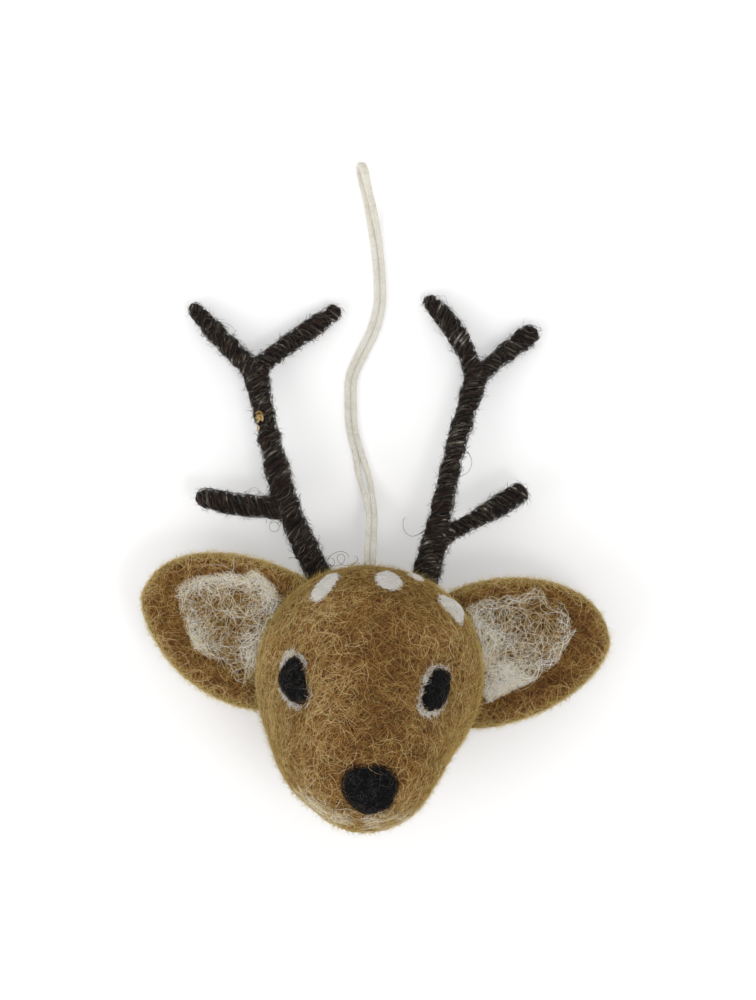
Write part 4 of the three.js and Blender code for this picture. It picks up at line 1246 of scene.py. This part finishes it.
# Stray curls of the same dark wool, pulled out of the antlers' yarn, and a fleck of straw that is
# caught in the left one. Both are single hairs and stalks, held by the yarn.
stray_curls = {
    "left": [
        [(-9.9, 23, 14.5), (-8.6, 23.2, 14), (-7.6, 24.2, 13.8), (-8.1, 25.3, 13.8), (-9, 25, 13.6),
         (-8.7, 23.9, 13.4), (-7.3, 23.6, 13.2), (-5.9, 24.2, 13), (-5.4, 25.5, 13), (-6.3, 26.2, 13),
         (-7.1, 25.4, 12.8), (-6.4, 24.1, 12.6), (-4.9, 23.7, 12.4), (-3.4, 24.1, 12.2), (-2.6, 25.1, 12.2),
         (-3.2, 25.8, 12), (-3.9, 25.2, 12)],
        [(-9.6, 24.5, 14), (-8.2, 26, 13.8), (-6.6, 26.7, 13.6), (-5, 26.3, 13.4), (-4.4, 25.2, 13.2)],
        [(-20.6 + 1.05 * math.sin(t), 32 + 1.05 * math.cos(t), 11 - 0.1 * t)
         for t in np.linspace(-0.3, 6.6, 26)],
    ],
    "right": [
        [(19.4, 49.6, 9.5), (20.4, 48.8, 11), (21.9, 46.3, 11.5), (21.1, 43.8, 11.5), (19.2, 42.8, 11)],
        [(13, 32.4, 14.5), (12.3, 31.7, 14.7), (10.5, 30.4, 15), (8.9, 30, 15), (7.5, 31, 15),
         (7.1, 32.6, 15), (7.3, 33.8, 15), (8.1, 34, 15)],
    ],
}
straw_bits = [
    [(-24.7, 56.3, 10.6), (-23.8, 56.8, 11.2), (-22.8, 55.9, 10.9)],
    [(-24.5, 55.9, 10.8), (-23.7, 56.1, 11.3), (-23, 55.3, 11)],
    [(-24.7, 55.3, 10.7), (-24, 55.6, 11.3), (-23.2, 54.8, 11)],
    [(-24.4, 54.3, 10.7), (-23.9, 55, 11.3), (-23.9, 56.2, 11)],
    [(-23.2, 54.6, 10.8), (-23.1, 55.4, 11.2), (-23.5, 56.5, 10.9)],
    [(-24.3, 53.9, 10.6), (-23.9, 53.3, 11), (-24.2, 52.6, 10.8)],
]
straw = wool_finish("straw", [(0.0, (120, 92, 48)), (0.5, (186, 154, 98)), (1.0, (224, 198, 146))])


def stalks(name, bits, step, sides, radius, tones, wool, body, slot):
    """A piece of thin stalks along lines in mm. radius takes how far along a stalk is."""
    lines = [through(bit, step) * mm for bit in bits]
    tubes = [tube(line, sides, radius(np.linspace(0, 1, len(line)))[:, None]) for line in lines]
    mesh = mesh_of(name, *joined(tubes))
    store(mesh, "tone", np.repeat(tones, [len(corners) for corners, _ in tubes]))
    fixed(piece(name, mesh, wool), body, slot)


hair_radius, stalk_radius, curl_tone = 0.045 * mm, 0.2 * mm, 0.42


def hair(share):
    return hair_radius * np.clip(np.minimum(share, 1 - share) * 12 + 0.15, 0, 1)


def stalk(share):
    return stalk_radius * np.sqrt(np.clip(1 - (2 * share - 1) ** 4, 0.02, 1))


for side, curls in stray_curls.items():
    curl_tones, body = [curl_tone] * len(curls), f"{side}_antler"
    stalks(f"{side}_stray_curls", curls, 0.3, 4, hair, curl_tones, dark_wool, body, "dark_yarn")
straw_tones = [0.25 + 0.13 * number for number in range(len(straw_bits))]
stalks("straw_fleck", straw_bits, 0.25, 6, stalk, straw_tones, straw, "left_antler", "pale_wool")

# Pieces inside: the core of undyed wool, the knot of the loop and the antlers' bare steel wires. The
# felt and the yarn cover them.
core_felt = felt_finish("core_felt", (178, 164, 138), (208, 196, 170), (228, 220, 200))
steel, nodes, shader = finish("drawn_wire", 0.4)
shader.inputs["Metallic"].default_value = 1.0
drawn = nodes.cloud(nodes.add("ShaderNodeTexCoord", out="Object"), 2600.0, 3.0)
greys = [(0.3, (150, 152, 154)), (0.7, (200, 202, 204))]
nodes.join(shader.inputs["Base Color"], nodes.ramp(drawn, greys))
nodes.join(shader.inputs["Roughness"], 0.3 + drawn * 0.25)
inner_finishes = {"core_wool": core_felt, "cotton_cord": cotton, "steel_wire": steel}
for subpart in frame["record"]["subparts"]:
    if subpart["node"] in ("head_core", "loop_knot") or subpart["material_slot"] == "steel_wire":
        frame["nodes"][subpart["node"]].material_slots[0].material = inner_finishes[subpart["material_slot"]]

boxes = {"cad": cad_box, "visual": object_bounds()}
{name: [list(map(float, corner)) for corner in box] for name, box in boxes.items()}
